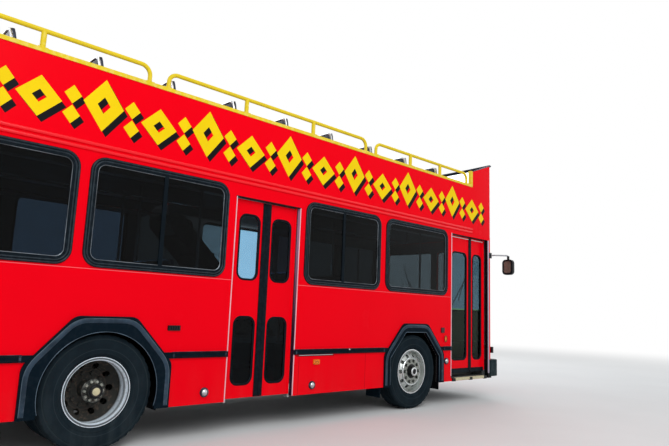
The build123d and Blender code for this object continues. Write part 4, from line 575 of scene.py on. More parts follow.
# Plain finishes: the values that surface takes
SURFACES = {
    "black enamel": dict(colour=(0.006, 0.007, 0.009), rough=0.35, specular=0.15),
    # Window rubber: its light bluish edge colour is a painted highlight along the rubber's edges.
    "window rubber": dict(colour=(0.0035, 0.0075, 0.0115), rough=0.4, mottle=0.5, mottle_scale=7.0,
        grain=500.0, bump=0.2, wear=0.25, worn=(0.03, 0.045, 0.06), specular=0.05),
    # Rubber lip: a lighter copy of the window rubber with light bluish edges, painted highlights on the
    # raised lips.
    "rubber lip": dict(colour=(0.012, 0.022, 0.031), rough=0.35, mottle=0.6, mottle_scale=9.0,
        grain=500.0, bump=0.2, wear=0.4, worn=(0.05, 0.07, 0.09), specular=0.2),
    "arch rubber": dict(colour=(0.0035, 0.0095, 0.0160), rough=0.45, mottle=0.4, mottle_scale=3.0,
        grain=420.0, bump=0.25, wear=0.15, worn=(0.02, 0.03, 0.04), specular=0.02, shade=0.75),
    "liner black": dict(colour=(0.004, 0.0045, 0.005), rough=0.8, mottle=0.4, grain=240.0, bump=0.3,
        film=0.2, film_top=0.6, specular=0.02),
    # Arch ridge: lighter and bluer than the arch rubber, with light edges, a painted highlight along
    # the ridge of the arch trims.
    "arch ridge": dict(colour=(0.034, 0.058, 0.088), rough=0.4, mottle=0.8, mottle_scale=5.0,
        grain=420.0, bump=0.25, wear=0.3, worn=(0.12, 0.16, 0.20), specular=0.08, shade=0.4),
    # Ridge line: pale blue-grey thin lines, painted highlights along the arch trims and the edges of
    # their openings.
    "ridge line": dict(colour=(0.10, 0.15, 0.20), rough=0.4, mottle=0.8, mottle_scale=4.0, grain=420.0,
        bump=0.2, specular=0.2, shade=0.25),
    "bumper rubber": dict(colour=(0.014, 0.026, 0.030), rough=0.55, mottle=0.6, grain=350.0, bump=0.3,
        wear=0.4, worn=(0.06, 0.08, 0.09), specular=0.03),
    "black plastic": dict(colour=(0.008, 0.010, 0.012), rough=0.4, grain=480.0, bump=0.3, specular=0.2),
    "dark nut": dict(colour=(0.022, 0.024, 0.024), rough=0.4, metallic=0.3, mottle=0.6, grain=260.0,
        bump=0.1, wear=0.5, worn=(0.3, 0.3, 0.28), specular=0.15),
    "worn nut": dict(colour=(0.46, 0.48, 0.42), rough=0.4, metallic=0.4, mottle=0.9, mottle_scale=30.0,
        grain=260.0, bump=0.2, specular=0.2, shade=0.2),
    "flange steel": dict(colour=(0.035, 0.038, 0.036), rough=0.5, metallic=0.3, mottle=0.9,
        mottle_scale=40.0, grain=260.0, bump=0.2, wear=0.6, worn=(0.4, 0.4, 0.36), specular=0.15,
        shade=0.3),
    "turned metal": dict(colour=(0.66, 0.69, 0.70), rough=0.22, metallic=0.9, mottle=0.3,
        mottle_scale=9.0, grain=200.0, bump=0.04),
    "bright metal": dict(colour=(0.60, 0.61, 0.63), rough=0.2, metallic=1.0, mottle=0.3, grain=260.0,
        bump=0.04),
    "window bead": dict(colour=(0.24, 0.27, 0.30), rough=0.3, metallic=0.6, mottle=0.9,
        mottle_scale=4.0, grain=260.0, bump=0.04, specular=0.2, shade=0.2),
    # Corner strip: a lilac strip down the front corner edge, a painted highlight on that edge, dulled
    # lower down by road film.
    "anodised strip": dict(colour=(0.56, 0.50, 0.62), rough=0.35, metallic=0.2, mottle=0.4, grain=300.0,
        bump=0.05, film=0.2, film_top=1.5, specular=0.2),
    # Bright jamb strips beside the doors; their pink is a painted reflection of the red bodywork.
    "pink strip": dict(colour=(0.86, 0.58, 0.66), rough=0.35, mottle=0.5, mottle_scale=3.0, grain=300.0,
        bump=0.05, specular=0.2),
    "chrome": dict(colour=(0.62, 0.63, 0.66), rough=0.12, metallic=1.0, mottle=0.4, grain=90.0,
        bump=0.02, shade=0.5),
    "bare steel": dict(colour=(0.42, 0.43, 0.44), rough=0.4, metallic=0.85, mottle=0.5, grain=200.0,
        bump=0.1, wear=0.3),
    "cast iron": dict(colour=(0.045, 0.043, 0.042), rough=0.7, metallic=0.3, mottle=0.7, grain=180.0,
        bump=0.6, film=0.5),
    "chassis paint": dict(colour=(0.013, 0.013, 0.013), rough=0.6, mottle=0.5, grain=240.0, bump=0.3,
        film=0.6, film_top=1.2),
    "deck vinyl": dict(colour=(0.17, 0.18, 0.185), rough=0.6, mottle=0.5, mottle_scale=4.0, grain=380.0,
        bump=0.4),
    "floor vinyl": dict(colour=(0.09, 0.092, 0.096), rough=0.6, mottle=0.5, mottle_scale=5.0,
        grain=420.0, bump=0.4, wear=0.3),
    "ceiling panel": dict(colour=(0.34, 0.35, 0.33), rough=0.5, mottle=0.3, grain=300.0, bump=0.05),
    "seat shell": dict(colour=(0.25, 0.38, 0.38), rough=0.35, mottle=0.3, grain=340.0, bump=0.2,
        wear=0.2, worn=(0.6, 0.65, 0.63)),
    "seat vinyl": dict(colour=(0.012, 0.02, 0.05), rough=0.45, mottle=0.4, mottle_scale=8.0,
        grain=700.0, bump=0.4),
    # Mirror glass without a mirror: its flat brown is a painted reflection.
    "mirror glass": dict(colour=(0.19, 0.135, 0.110), rough=0.30, mottle=0.7, mottle_scale=14.0,
        bump=0.0, specular=0.3, shade=0.4),
    "cream cap": dict(colour=(0.62, 0.56, 0.34), rough=0.4, mottle=0.6, mottle_scale=30.0, wear=0.3),
    "white enamel": dict(colour=(0.78, 0.76, 0.76), rough=0.35, mottle=0.3, grain=200.0, bump=0.05,
        film=0.2, film_top=1.4),
    "slate trim": dict(colour=(0.018, 0.026, 0.045), rough=0.4, mottle=0.6, grain=300.0, bump=0.1,
        wear=0.4, worn=(0.2, 0.25, 0.3), specular=0.15),
    "shadow black": dict(colour=(0.004, 0.0045, 0.006), rough=0.4, mottle=0.3, specular=0.08),
    "ornament yellow": dict(colour=(0.93, 0.65, 0.006), rough=0.32, mottle=0.4, mottle_scale=2.5,
        grain=150.0, bump=0.03, specular=0.04, shade=0.84),
}

# Finishes with a maker or a setting of their own
SPECIAL_FINISHES = {
    "red paint": body_paint,
    "side paint": lambda name: body_paint(name, side_layer_with_painted_light),
    "end paint": lambda name: body_paint(name, end_layer),
    "mid door paint": lambda name: body_paint(name, door_edge_shade_layer(MID_DOOR_FACE)),
    "front door paint": lambda name: body_paint(name, door_edge_shade_layer(FRONT_DOOR_FACE)),
    "gloss red": lambda name: surface(
        name, paint_settings().body, 0.2, mottle=0.2, mottle_scale=2.0, grain=120.0,
        bump=0.02, specular=0.35, shade=0.85),
    "yellow paint": lambda name: surface(
        name, paint_settings().trim, 0.32, mottle=0.35, mottle_scale=6.0, grain=160.0,
        bump=0.04, wear=0.25, worn=(0.9, 0.80, 0.35), specular=0.08, shade=0.82),
    "mirror body": lambda name: surface(
        name, (0.008, 0.010, 0.012), 0.4, grain=480.0, bump=0.3, specular=0.2,
        layer=mirror_layer),
    "seat cloth": lambda name: cloth_material(name, (0.03, 0.05, 0.16), (0.28, 0.10, 0.05)),
    # Window glass: the left-side panes get tints of their own, lighter blue behind, dark further
    # forward and pale blue from station 2.2 to 3.65, painted light and shade for what is seen through
    # them; the windscreen's clearer tint is its own.
    "window glass": lambda name: glass(name, (0.078, 0.098, 0.110), [
        ((-4.4, 1.1, 1.4), (at(1.25), 1.3, 2.7), (0.11, 0.18, 0.28)),
        ((at(1.25), 1.1, 1.4), (4.3, 1.3, 2.7), (0.045, 0.055, 0.060)),
        ((at(2.2), 1.1, 1.4), (at(3.65), 1.3, 2.7), (0.45, 0.68, 0.82)),
        ((4.3, -1.3, 1.2), (4.8, 1.3, 2.7), (0.45, 0.53, 0.56))]),
    # Mid door glass: the front leaf's upper pane and the lower panes get dark tints, painted shade of
    # the cabin behind them.
    "mid door glass": lambda name: glass(name, (0.52, 0.70, 0.84), [
        ((at(1.75), None, 1.4), (at(2.15), None, 2.4), (0.05, 0.06, 0.10)),
        ((at(1.30), None, 0.3), (at(2.15), None, 1.3), (0.10, 0.16, 0.20))]),
    # Front door glass: the lower part of its panes is tinted green, a painted view of the trees seen
    # through them.
    "front door glass": lambda name: glass(name, (0.11, 0.20, 0.25), [
        ((at(5.2), None, 0.5), (at(6.3), None, 1.40), (0.15, 0.34, 0.16))]),
    "screen glass": lambda name: glass(name, (0.86, 0.92, 0.94)),
    "lens": lens_material,
    "rear tyre rubber": lambda name: tyre_material(name, at(0)),
    "front tyre rubber": lambda name: tyre_material(name, at(WHEELBASE)),
    "polished wheel": lambda name: wheel_material(name, at(WHEELBASE), False),
    "rusty wheel": lambda name: wheel_material(name, at(0), True),
}
FINISHES = {}


def finish(name):
    """Material of one of this bus's finishes, built when it is first asked for."""
    if name not in FINISHES:
        special = SPECIAL_FINISHES.get(name)
        FINISHES[name] = special(name) if special else surface(name, **SURFACES[name])
    return FINISHES[name]


# Putting pieces together

class Shape:
    """Points and faces of one piece while it is put together."""

    def __init__(self):
        self.points = []
        self.faces = []
        self.marks = []
        self.mark = 0

    def add(self, points, faces):
        start = len(self.points)
        self.points.extend(points)
        for face in faces:
            self.faces.append([start + index for index in face])
            self.marks.append(self.mark)

    def slab(self, first, last):
        """Box between two opposite corners."""
        spans = [sorted(pair) for pair in zip(first, last)]
        self.add(list(product(*spans)), [(0, 1, 3, 2), (4, 6, 7, 5), (0, 4, 5, 1), (2, 3, 7, 6),
                                         (0, 2, 6, 4), (1, 5, 7, 3)])

    def side_slab(self, side, rear, front, inner, outer, low, high):
        """Slab between two stations, two distances from a side wall's face and two heights."""
        self.slab((at(rear), side * (HALF_WIDTH + inner), low),
                  (at(front), side * (HALF_WIDTH + outer), high))

    def prism(self, first, last):
        """Solid between two outlines whose points match."""
        count = len(first)
        faces = [tuple(range(count)), tuple(range(2 * count - 1, count - 1, -1))]
        faces += [(i, count + i, count + (i + 1) % count, (i + 1) % count) for i in range(count)]
        self.add(first + last, faces)

    def plate(self, outline, *ys):
        """Outline of (x, z) points, made solid between two Y planes."""
        self.prism(*(upright_loop(outline, y) for y in sorted(ys)))

    def frame_plate(self, outer, inner, *ys):
        """Plate with a hole. Outer and inner outlines have as many points."""
        count = len(outer)
        points = [(x, y, z) for y in sorted(ys) for x, z in outer + inner]
        faces = []
        for i in range(count):
            j = (i + 1) % count
            faces.append((i, j, count + j, count + i))
            faces.append((2 * count + i, 3 * count + i, 3 * count + j, 2 * count + j))
            faces.append((i, 2 * count + i, 2 * count + j, j))
            faces.append((count + i, count + j, 3 * count + j, 3 * count + i))
        self.add(points, faces)

    def wall(self, outer, inner, low, tops):
        """Upright wall between two lines of (x, y) points, with a top height for each."""
        points = []
        for (x, y), (u, v), top in zip(outer, inner, tops):
            points += [(x, y, low), (x, y, top), (u, v, top), (u, v, low)]
        last = len(points) - 4
        faces = [(0, 1, 2, 3), (last + 3, last + 2, last + 1, last)]
        for i in range(0, last, 4):
            for k in range(4):
                m = (k + 1) % 4
                faces.append((i + k, i + 4 + k, i + 4 + m, i + m))
        self.add(points, faces)

    def bowed(self, half, inner, outer, low, high, cuts=16):
        """Band of the bowed front between two offsets from its face."""
        ys = [half * (2 * k / cuts - 1) for k in range(cuts + 1)]
        self.wall([(nose(y) + outer, y) for y in ys], [(nose(y) + inner, y) for y in ys], low,
                  [high] * len(ys))

    def tube(self, path, radius, sides=8, closed=False, flat=1.0):
        """Round bar along a path. flat squeezes it across the path's plane."""
        path = [Vector(point) for point in path]
        count = len(path)
        points = []
        side = None
        for i, point in enumerate(path):
            before = path[i - 1] if (i > 0 or closed) else point
            after = path[(i + 1) % count] if (i < count - 1 or closed) else point
            along = (after - before).normalized()
            if side is None:
                side = Vector((0, 1, 0)) if abs(along.y) < 0.9 else Vector((0, 0, 1))
            side = (side - along * side.dot(along)).normalized()
            other = along.cross(side)
            points += [tuple(point + side * (u * flat) + other * v) for u, v in circle(radius, sides)]
        faces = []
        for i in range(count if closed else count - 1):
            j = (i + 1) % count
            for k in range(sides):
                m = (k + 1) % sides
                faces.append((i * sides + k, i * sides + m, j * sides + m, j * sides + k))
        if not closed:
            faces.append(tuple(range(sides - 1, -1, -1)))
            faces.append(tuple((count - 1) * sides + k for k in range(sides)))
        self.add(points, faces)

    def lathe(self, profile, centre, segments=64, closed=True, lug=None, side=1):
        """Profile of (radius, y) turned about a line along Y through centre."""
        points = []
        for j, (u, v) in enumerate(circle(1.0, segments)):
            for i, (radius, y) in enumerate(profile):
                r = radius - lug(i, j) if lug else radius
                points.append((centre[0] + r * u, centre[1] + side * y, centre[2] + r * v))
        count = len(profile)
        faces = []
        for j in range(segments):
            n = (j + 1) % segments
            for i in range(count if closed else count - 1):
                k = (i + 1) % count
                faces.append((j * count + i, j * count + k, n * count + k, n * count + i))
        if not closed:
            faces.append(tuple(j * count for j in range(segments)))
            faces.append(tuple(j * count + count - 1 for j in range(segments - 1, -1, -1)))
        self.add(points, faces)


def circle(radius, count):
    """Points (across, up) round a circle about the origin."""
    angles = [2 * math.pi * k / count for k in range(count)]
    return [(radius * math.cos(angle), radius * math.sin(angle)) for angle in angles]


def rounded(low_x, high_x, low_z, high_z, radius, inset=0.0, steps=6):
    """Outline of (x, z) points of a rectangle with rounded corners, inset from its sides."""
    low_x, high_x, low_z, high_z = (low_x + inset, high_x - inset, low_z + inset, high_z - inset)
    outline = []
    for x, z, first in ((high_x - radius, high_z - radius, 0), (low_x + radius, high_z - radius, 90),
                        (low_x + radius, low_z + radius, 180), (high_x - radius, low_z + radius, 270)):
        for step in range(steps + 1):
            angle = math.radians(first + 90 * step / steps)
            outline.append((x + radius * math.cos(angle), z + radius * math.sin(angle)))
    return outline


def window_outline(low, high, inset):
    """Outline of a window opening between two places along its wall, inset from it."""
    return rounded(low, high, WINDOW_LOW, WINDOW_HIGH, WINDOW_RADIUS - inset, inset)


def upright_loop(outline, y):
    """Path at one Y from an outline of (x, z) points."""
    return [(x, y, z) for x, z in outline]


def bowed_loop(outline, proud):
    """Closed path in short steps on the bowed front, from an outline of (y, z) points."""
    path = []
    for (y0, z0), (y1, z1) in zip(outline, outline[1:] + outline[:1]):
        steps = max(1, round(abs(y1 - y0) / 0.15))
        for k in range(steps):
            y = y0 + (y1 - y0) * k / steps
            path.append((nose(y) + proud, y, z0 + (z1 - z0) * k / steps))
    return path


def smooth_path(points, radius, steps=5):
    """Path with its inner corners rounded."""
    points = [Vector(point) for point in points]
    path = [points[0]]
    for before, corner, after in zip(points, points[1:], points[2:]):
        start = corner + (before - corner).normalized() * radius
        end = corner + (after - corner).normalized() * radius
        for step in range(steps + 1):
            t = step / steps
            path.append(start * (1 - t) ** 2 + corner * (2 * t * (1 - t)) + end * t ** 2)
    path.append(points[-1])
    return path


def add_object(name, data):
    """New object in the scene."""
    made = bpy.data.objects.new(name, data)
    bpy.context.scene.collection.objects.link(made)
    return made


def make_piece(name, shape, materials, body="root", bevel=0.0):
    """Object from a shape, riding on a body with its finish."""
    mesh = bpy.data.meshes.new(name)
    mesh.from_pydata(shape.points, [], shape.faces)
    mesh.polygons.foreach_set("material_index", shape.marks)
    mesh.polygons.foreach_set("use_smooth", [True] * len(shape.faces))
    work = bmesh.new()
    work.from_mesh(mesh)
    bmesh.ops.recalc_face_normals(work, faces=work.faces)
    work.to_mesh(mesh)
    work.free()
    mesh.set_sharp_from_angle(angle=math.radians(SHARP_ANGLE))
    for label in materials:
        mesh.materials.append(finish(label))
    made = add_object(name, mesh)
    if bevel > 0:
        edges = made.modifiers.new("Rounded edges", "BEVEL")
        edges.width = bevel
        edges.segments = 2
        edges.limit_method = "ANGLE"
        edges.angle_limit = math.radians(BEVEL_ANGLE)
    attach(made, body)
    return made


def paint_nodes(names, label):
    """Gives CAD nodes a finish in their own material slots."""
    for name in names:
        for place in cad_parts[name].material_slots:
            place.material = finish(label)


# Settings that a user would change

class BusPaint(bpy.types.PropertyGroup):
    """Colours of the bodywork."""
    body: bpy.props.FloatVectorProperty(
        name="Body", description="Paint of the sides, ends, doors and parapets", size=3,
        min=0, max=1, default=(0.90, 0.0, 0.008), subtype="COLOR")
    trim: bpy.props.FloatVectorProperty(
        name="Rails", description="Paint of the rails and parapet caps", size=3, min=0, max=1,
        default=(0.80, 0.60, 0.026), subtype="COLOR")


class BusStage(bpy.types.PropertyGroup):
    """Camera and light of the picture."""
    lens: bpy.props.FloatProperty(
        name="Lens", description="Focal length on a 36 mm wide sensor", default=30.869,
        unit="CAMERA")
    key_power: bpy.props.FloatProperty(
        name="Key", description="Power of the large soft lamp", default=800.0, unit="POWER")
    ambient: bpy.props.FloatProperty(
        name="Ambient", description="Strength of the even light round the bus", default=0.62)


class BusDetail(bpy.types.PropertyGroup):
    """Sizes of the trim."""
    tread_depth: bpy.props.FloatProperty(
        name="Tread depth", description="Depth of the tyre grooves", default=0.010,
        unit="LENGTH")
    ornament_height: bpy.props.FloatProperty(
        name="Ornament height", description="Height of the tall ornaments on the parapets",
        default=0.49, unit="LENGTH")
    bead: bpy.props.FloatProperty(
        name="Window bead", description="Radius of the bright bead inside the window rubber",
        default=0.004, unit="LENGTH")


class BusOperator:
    """Shared options of the operators."""
    bl_options = {"REGISTER", "UNDO"}


# Camera: place, and its yaw, pitch and roll in degrees
CAMERA_PLACE = (-3.970, -6.325, 1.2657)
CAMERA_TURN = (43.470, 8.862, 2.2175)
SENSOR_WIDTH = 36.0
# Floor: half its width, and the distances between which it fades to white
FLOOR_REACH = 90
FLOOR_FADE = (9.0, 26.0)
# Lamps: name, place, aimed at, size, share of the key power
LAMPS = [
    ("key", (-4.0, -11.0, 9.5), (-0.5, -1.0, 1.6), 9.0, 1.0),
    ("fill", (12.0, 5.0, 8.0), (2.0, 0.0, 1.5), 7.0, 0.45),
    ("far", (-6.0, 10.0, 8.0), (0.0, 0.0, 2.0), 8.0, 0.5),
]


def blend_shaders(tree, factor, first, second, output):
    """Mixes two shader nodes into a tree's output socket."""
    blend = node(tree, "ShaderNodeMixShader")
    for value, socket in zip((factor, first.outputs[0], second.outputs[0]), blend.inputs):
        wire(tree, value, socket)
    wire(tree, blend.outputs[0], output)


class BUS_OT_stage(BusOperator, bpy.types.Operator):
    """Camera at the photograph's place, pale floor, white surround and soft lamps"""
    bl_idname = "bus.stage"
    bl_label = "Stage"

    def execute(self, context):
        settings = context.scene.bus_stage
        data = bpy.data.cameras.new("camera")
        data.sensor_fit = "HORIZONTAL"
        data.sensor_width = SENSOR_WIDTH
        data.lens = settings.lens
        data.clip_end = 400.0
        camera = add_object("camera", data)
        yaw, pitch, roll = (math.radians(angle) for angle in CAMERA_TURN)
        forward = Vector((math.sin(yaw) * math.cos(pitch), math.cos(yaw) * math.cos(pitch),
                          math.sin(pitch)))
        right = Vector((math.cos(yaw), -math.sin(yaw), 0))
        up = right.cross(forward)
        across = right * math.cos(roll) + up * math.sin(roll)
        upward = up * math.cos(roll) - right * math.sin(roll)
        turn = Matrix((across, upward, -forward)).transposed()
        camera.matrix_world = Matrix.Translation(CAMERA_PLACE) @ turn.to_4x4()
        context.scene.camera = camera

        mesh = bpy.data.meshes.new("floor")
        mesh.from_pydata([(x * FLOOR_REACH, y * FLOOR_REACH, 0)
                          for x, y in ((-1, -1), (1, -1), (1, 1), (-1, 1))], [], [(0, 1, 2, 3)])
        ground = add_object("floor", mesh)
        material, tree, shader = start_material("pale floor")
        grains = place_group(tree, "Mottle", Color=(0.80, 0.80, 0.80), Shade=(0.76, 0.76, 0.76),
                             Scale=0.6, Amount=0.5)
        fill(tree, shader, Base_Color=grains.outputs["Color"], Roughness=0.9, Specular_IOR_Level=0.1)
        length = node(tree, "ShaderNodeVectorMath", operation="LENGTH")
        wire(tree, node(tree, "ShaderNodeNewGeometry").outputs["Position"], length.inputs[0])
        white = fill(tree, node(tree, "ShaderNodeEmission"), Strength=1.0)
        blend_shaders(tree, ramp(tree, length.outputs["Value"], *FLOOR_FADE), shader, white,
                      tree.nodes["Material Output"].inputs["Surface"])
        mesh.materials.append(material)

        world = bpy.data.worlds.new("surround")
        context.scene.world = world
        world.use_nodes = True
        tree = world.node_tree
        tree.nodes.clear()
        path = node(tree, "ShaderNodeLightPath")
        mirrored = math_node(tree, "MAXIMUM", path.outputs["Is Glossy Ray"],
                             path.outputs["Is Transmission Ray"])
        seen = math_node(tree, "MAXIMUM", path.outputs["Is Camera Ray"], mirrored)
        soft, bright = (fill(tree, node(tree, "ShaderNodeBackground"), Color=colour, Strength=strength)
                        for colour, strength in (((0.93, 0.97, 1.0), settings.ambient),
                                                 ((1.0, 1.0, 1.0), 1.0)))
        blend_shaders(tree, seen, soft, bright, node(tree, "ShaderNodeOutputWorld").inputs["Surface"])

        for name, place, target, size, share in LAMPS:
            lamp = bpy.data.lights.new(name, "AREA")
            lamp.size = size
            lamp.energy = settings.key_power * share
            aim = (Vector(target) - Vector(place)).to_track_quat("-Z", "Y").to_matrix()
            add_object(name, lamp).matrix_world = Matrix.Translation(place) @ aim.to_4x4()
        context.scene.view_settings.view_transform = "Standard"
        return {"FINISHED"}


# CAD nodes that keep their shape: finish, nodes
NODE_FINISHES = [
    ("red paint", ["engine_door", "parapet_sides", "parapet_rear"]),
    ("mid door paint", ["mid_door_rear", "mid_door_front"]),
    ("front door paint", ["front_door_rear", "front_door_front"]),
    ("side paint", ["side_right", "side_left"]),
    ("end paint", ["front_wall", "rear_wall"]),
    ("yellow paint", ["parapet_caps", "guard_rails"]),
    ("deck vinyl", ["upper_deck"]),
    ("floor vinyl", ["floor_lower", "stepwells", "stairs"]),
    ("bare steel", ["door_pivots", "grab_poles", "tie_rod", "knuckle_left", "knuckle_right"]),
    ("liner black", ["wheel_liners"]),
    ("chassis paint", ["chassis", "front_axle", "rear_axle"]),
    ("window rubber", ["window_frames", "air_springs"]),
    ("arch rubber", ["rubber_trims"]),
    ("cast iron", ["engine_block"]),
    ("bumper rubber", ["bumpers"]),
    ("black plastic", ["dashboard"]),
    ("seat shell", ["steering_wheel"]),
    ("mirror body", ["mirrors"]),
    ("window glass", ["window_panes"]),
    ("mid door glass", ["mid_door_rear_glass", "mid_door_front_glass"]),
    ("front door glass", ["front_door_rear_glass", "front_door_front_glass"]),
    ("lens", ["lamps"]),
    ("chrome", ["side_caps"]),
    ("polished wheel", ["wheel_front_left", "wheel_front_right"]),
    ("rusty wheel", ["wheels_rear_left", "wheels_rear_right"]),
]


class BUS_OT_finishes(BusOperator, bpy.types.Operator):
    """Finishes of the CAD nodes that keep their shape"""
    bl_idname = "bus.finishes"
    bl_label = "Finishes"

    def execute(self, context):
        for label, names in NODE_FINISHES:
            paint_nodes(names, label)
        return {"FINISHED"}


# Tyres: piece and node, body, station of the axle, Y of each tyre's middle
TYRES = [
    ("tyre_front_left", "front_wheel_left", WHEELBASE, [1.055]),
    ("tyre_front_right", "front_wheel_right", WHEELBASE, [-1.055]),
    ("tyres_rear_left", "rear_wheels_left", 0.0, [1.055, 0.720]),
    ("tyres_rear_right", "rear_wheels_right", 0.0, [-1.055, -0.720]),
]
TREAD_RADIUS = 0.499


def tyre_profile(depth):
    """Section of a truck tyre as (radius, y): grooved crown, ringed sidewalls, open inside."""
    crown = []
    for edge in (0.030, 0.078):
        groove = TREAD_RADIUS - depth
        crown += [(TREAD_RADIUS, edge - 0.006), (groove, edge - 0.005), (groove, edge + 0.005),
                  (0.4985, edge + 0.006)]
    half = crown + [(0.4965, 0.108), (0.491, 0.122), (0.474, 0.131), (0.462, 0.134), (0.459, 0.131),
                    (0.452, 0.132), (0.449, 0.1365), (0.425, 0.139), (0.395, 0.1395), (0.362, 0.137),
                    (0.340, 0.131), (0.336, 0.134), (0.329, 0.133), (0.325, 0.128), (0.312, 0.119),
                    (0.303, 0.110), (0.296, 0.104), (0.287, 0.101), (0.287, 0.078), (0.300, 0.086),
                    (0.340, 0.112), (0.400, 0.121), (0.450, 0.112), (0.474, 0.090)]
    return [(r, -y) for r, y in reversed(half)] + half


class BUS_OT_tyres(BusOperator, bpy.types.Operator):
    """Grooved tyres with shoulder lugs in place of the plain ones"""
    bl_idname = "bus.tyres"
    bl_label = "Tyres"

    def execute(self, context):
        profile = tyre_profile(context.scene.bus_detail.tread_depth)
        middle = len(profile) / 2 - 0.5

        def lug(i, j):
            place = abs(i - middle)
            if 8 <= place < 10.2 and j % 4 == 0:
                return 0.007
            if place < 8 and j % 4 == 2 and 3 < place < 5:
                return 0.003
            return 0.0

        for name, body, station, middles in TYRES:
            shape = Shape()
            for y in middles:
                shape.lathe(profile, (at(station), y, AXLE_Z), segments=144, lug=lug)
            rubber = "rear tyre rubber" if station < 1 else "front tyre rubber"
            made = make_piece("grooved_" + name, shape, [rubber], body)
            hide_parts(name)
        return {"FINISHED"}


# Hubs: name end, side, station, body, outer Y and radius of the cap, cap finish
HUBS = [
    ("front_left", 1, WHEELBASE, "front_wheel_left", FRONT_CAP_Y, 0.030, "black enamel"),
    ("front_right", -1, WHEELBASE, "front_wheel_right", FRONT_CAP_Y, 0.030, "black enamel"),
    ("rear_left", 1, 0.0, "rear_wheels_left", REAR_CAP_Y, 0.036, "cream cap"),
    ("rear_right", -1, 0.0, "rear_wheels_right", REAR_CAP_Y, 0.036, "cream cap"),
]
# Rings of nuts: outer Y of their seat, radius of the ring, radius of a nut
FRONT_NUTS = [(1.160, 0.143, 0.0190)]
REAR_NUTS = [(1.086, 0.080, 0.0115), (0.9000, 0.143, 0.0190)]


class BUS_OT_hubs(BusOperator, bpy.types.Operator):
    """Hub caps, rim edges and nuts of the wheels"""
    bl_idname = "bus.hubs"
    bl_label = "Hubs"

    def execute(self, context):
        for end, side, station, body, cap_y, cap_radius, cap_finish in HUBS:
            shape = Shape()

            def turned(rows, segments=48, closed=True):
                shape.lathe(rows, (at(station), 0.0, AXLE_Z), segments, closed, side=side)

            turned([(0.0005, cap_y + 0.006), (cap_radius * 0.6, cap_y + 0.005),
                    (cap_radius * 0.92, cap_y + 0.001), (cap_radius, cap_y - 0.006)], 32, False)
            shape.mark = 1
            turned([(cap_radius + 0.002, cap_y - 0.004), (cap_radius + 0.012, cap_y + 0.004),
                    (0.056, cap_y + 0.001), (0.061, cap_y - 0.006), (0.062, cap_y - 0.022),
                    (cap_radius + 0.002, cap_y - 0.022)])
            if station:
                # The turned step of the disc, inside its hand holes
                turned([(0.176, 1.157), (0.180, 1.166), (0.187, 1.167), (0.194, 1.160), (0.196, 1.148),
                        (0.180, 1.148)], 72)
                finishes = [cap_finish, "turned metal"]
            else:
                # Half shaft flange and the pressed steps inside the rim
                shape.mark = 2
                turned([(0.058, 1.086), (0.099, 1.086), (0.103, 1.082), (0.103, 1.072), (0.058, 1.072)])
                shape.mark = 3
                turned([(0.2738, 1.150), (0.268, 1.144), (0.2655, 1.130), (0.2655, 1.104),
                        (0.269, 1.094), (0.2738, 1.090)], 96)
                turned([(0.2738, 1.060), (0.270, 1.052), (0.270, 1.030), (0.2738, 1.022)], 96)
                finishes = [cap_finish, "black enamel", "flange steel", "rusty wheel"]
            make_piece("hub_trim_" + end, shape, finishes, body)

            nuts = Shape()
            for nuts.mark, (seat_y, ring, size) in enumerate(FRONT_NUTS if station else REAR_NUTS):
                for x, z in circle(ring, 10):
                    for sides, radius, rise in ((6, size, size * 1.15), (16, size * 1.15, 0.004)):
                        outline = [(at(station) + x + u, AXLE_Z + z + v)
                                   for u, v in circle(radius, sides)]
                        nuts.plate(outline, side * seat_y, side * (seat_y + rise))
            finishes = ["dark nut"] if station else ["worn nut", "dark nut"]
            make_piece("wheel_nuts_" + end, nuts, finishes, body, bevel=0.0012)
        return {"FINISHED"}


# Raised lips of the window rubbers: inset, radius
LIPS = ((0.012, 0.007), (0.036, 0.006))


class BUS_OT_window_trim(BusOperator, bpy.types.Operator):
    """Bright beads and raised lips of the window rubbers"""
    bl_idname = "bus.window_trim"
    bl_label = "Window Trim"

    def execute(self, context):
        radius = context.scene.bus_detail.bead
        beads = Shape()
        lips = Shape()
        for side, windows in ((-1, RIGHT_WINDOWS), (1, LEFT_WINDOWS)):
            for rear, front in windows:
                inner = window_outline(at(rear), at(front), RUBBER_WIDTH + 0.002)
                beads.tube(upright_loop(inner, side * (HALF_WIDTH + 0.005)), radius, 6, True)
                for inset, width in LIPS:
                    outline = window_outline(at(rear), at(front), inset)
                    lips.tube(upright_loop(outline, side * RUBBER_FACE), width, 6, True)
        make_piece("window_beads", beads, ["window bead"])
        make_piece("window_lips", lips, ["rubber lip"])
        return {"FINISHED"}


# Door leaves: body, face Y, rear station, front station, bottom, top, seam side, seal width,
# panes as (rear, front, low, high)
LEAVES = [
    ("mid_leaf_rear", MID_DOOR_FACE, 1.291, 1.721, 0.345, 2.449, 1, 0.052,
     [(1.376, 1.632, 1.586, 2.285), (1.376, 1.632, 0.484, 1.180)]),
    ("mid_leaf_front", MID_DOOR_FACE, 1.729, 2.159, 0.345, 2.449, -1, 0.052,
     [(1.818, 2.074, 1.586, 2.285), (1.818, 2.074, 0.484, 1.180)]),
    ("front_leaf_rear", FRONT_DOOR_FACE, 5.238, 5.831, 0.450, 2.537, 1, 0.032,
     [(5.350, 5.745, 0.625, 2.275)]),
    ("front_leaf_front", FRONT_DOOR_FACE, 5.839, 6.250, 0.450, 2.537, -1, 0.032,
     [(5.925, 6.165, 0.625, 2.275)]),
]
PANE_RADIUS = 0.085
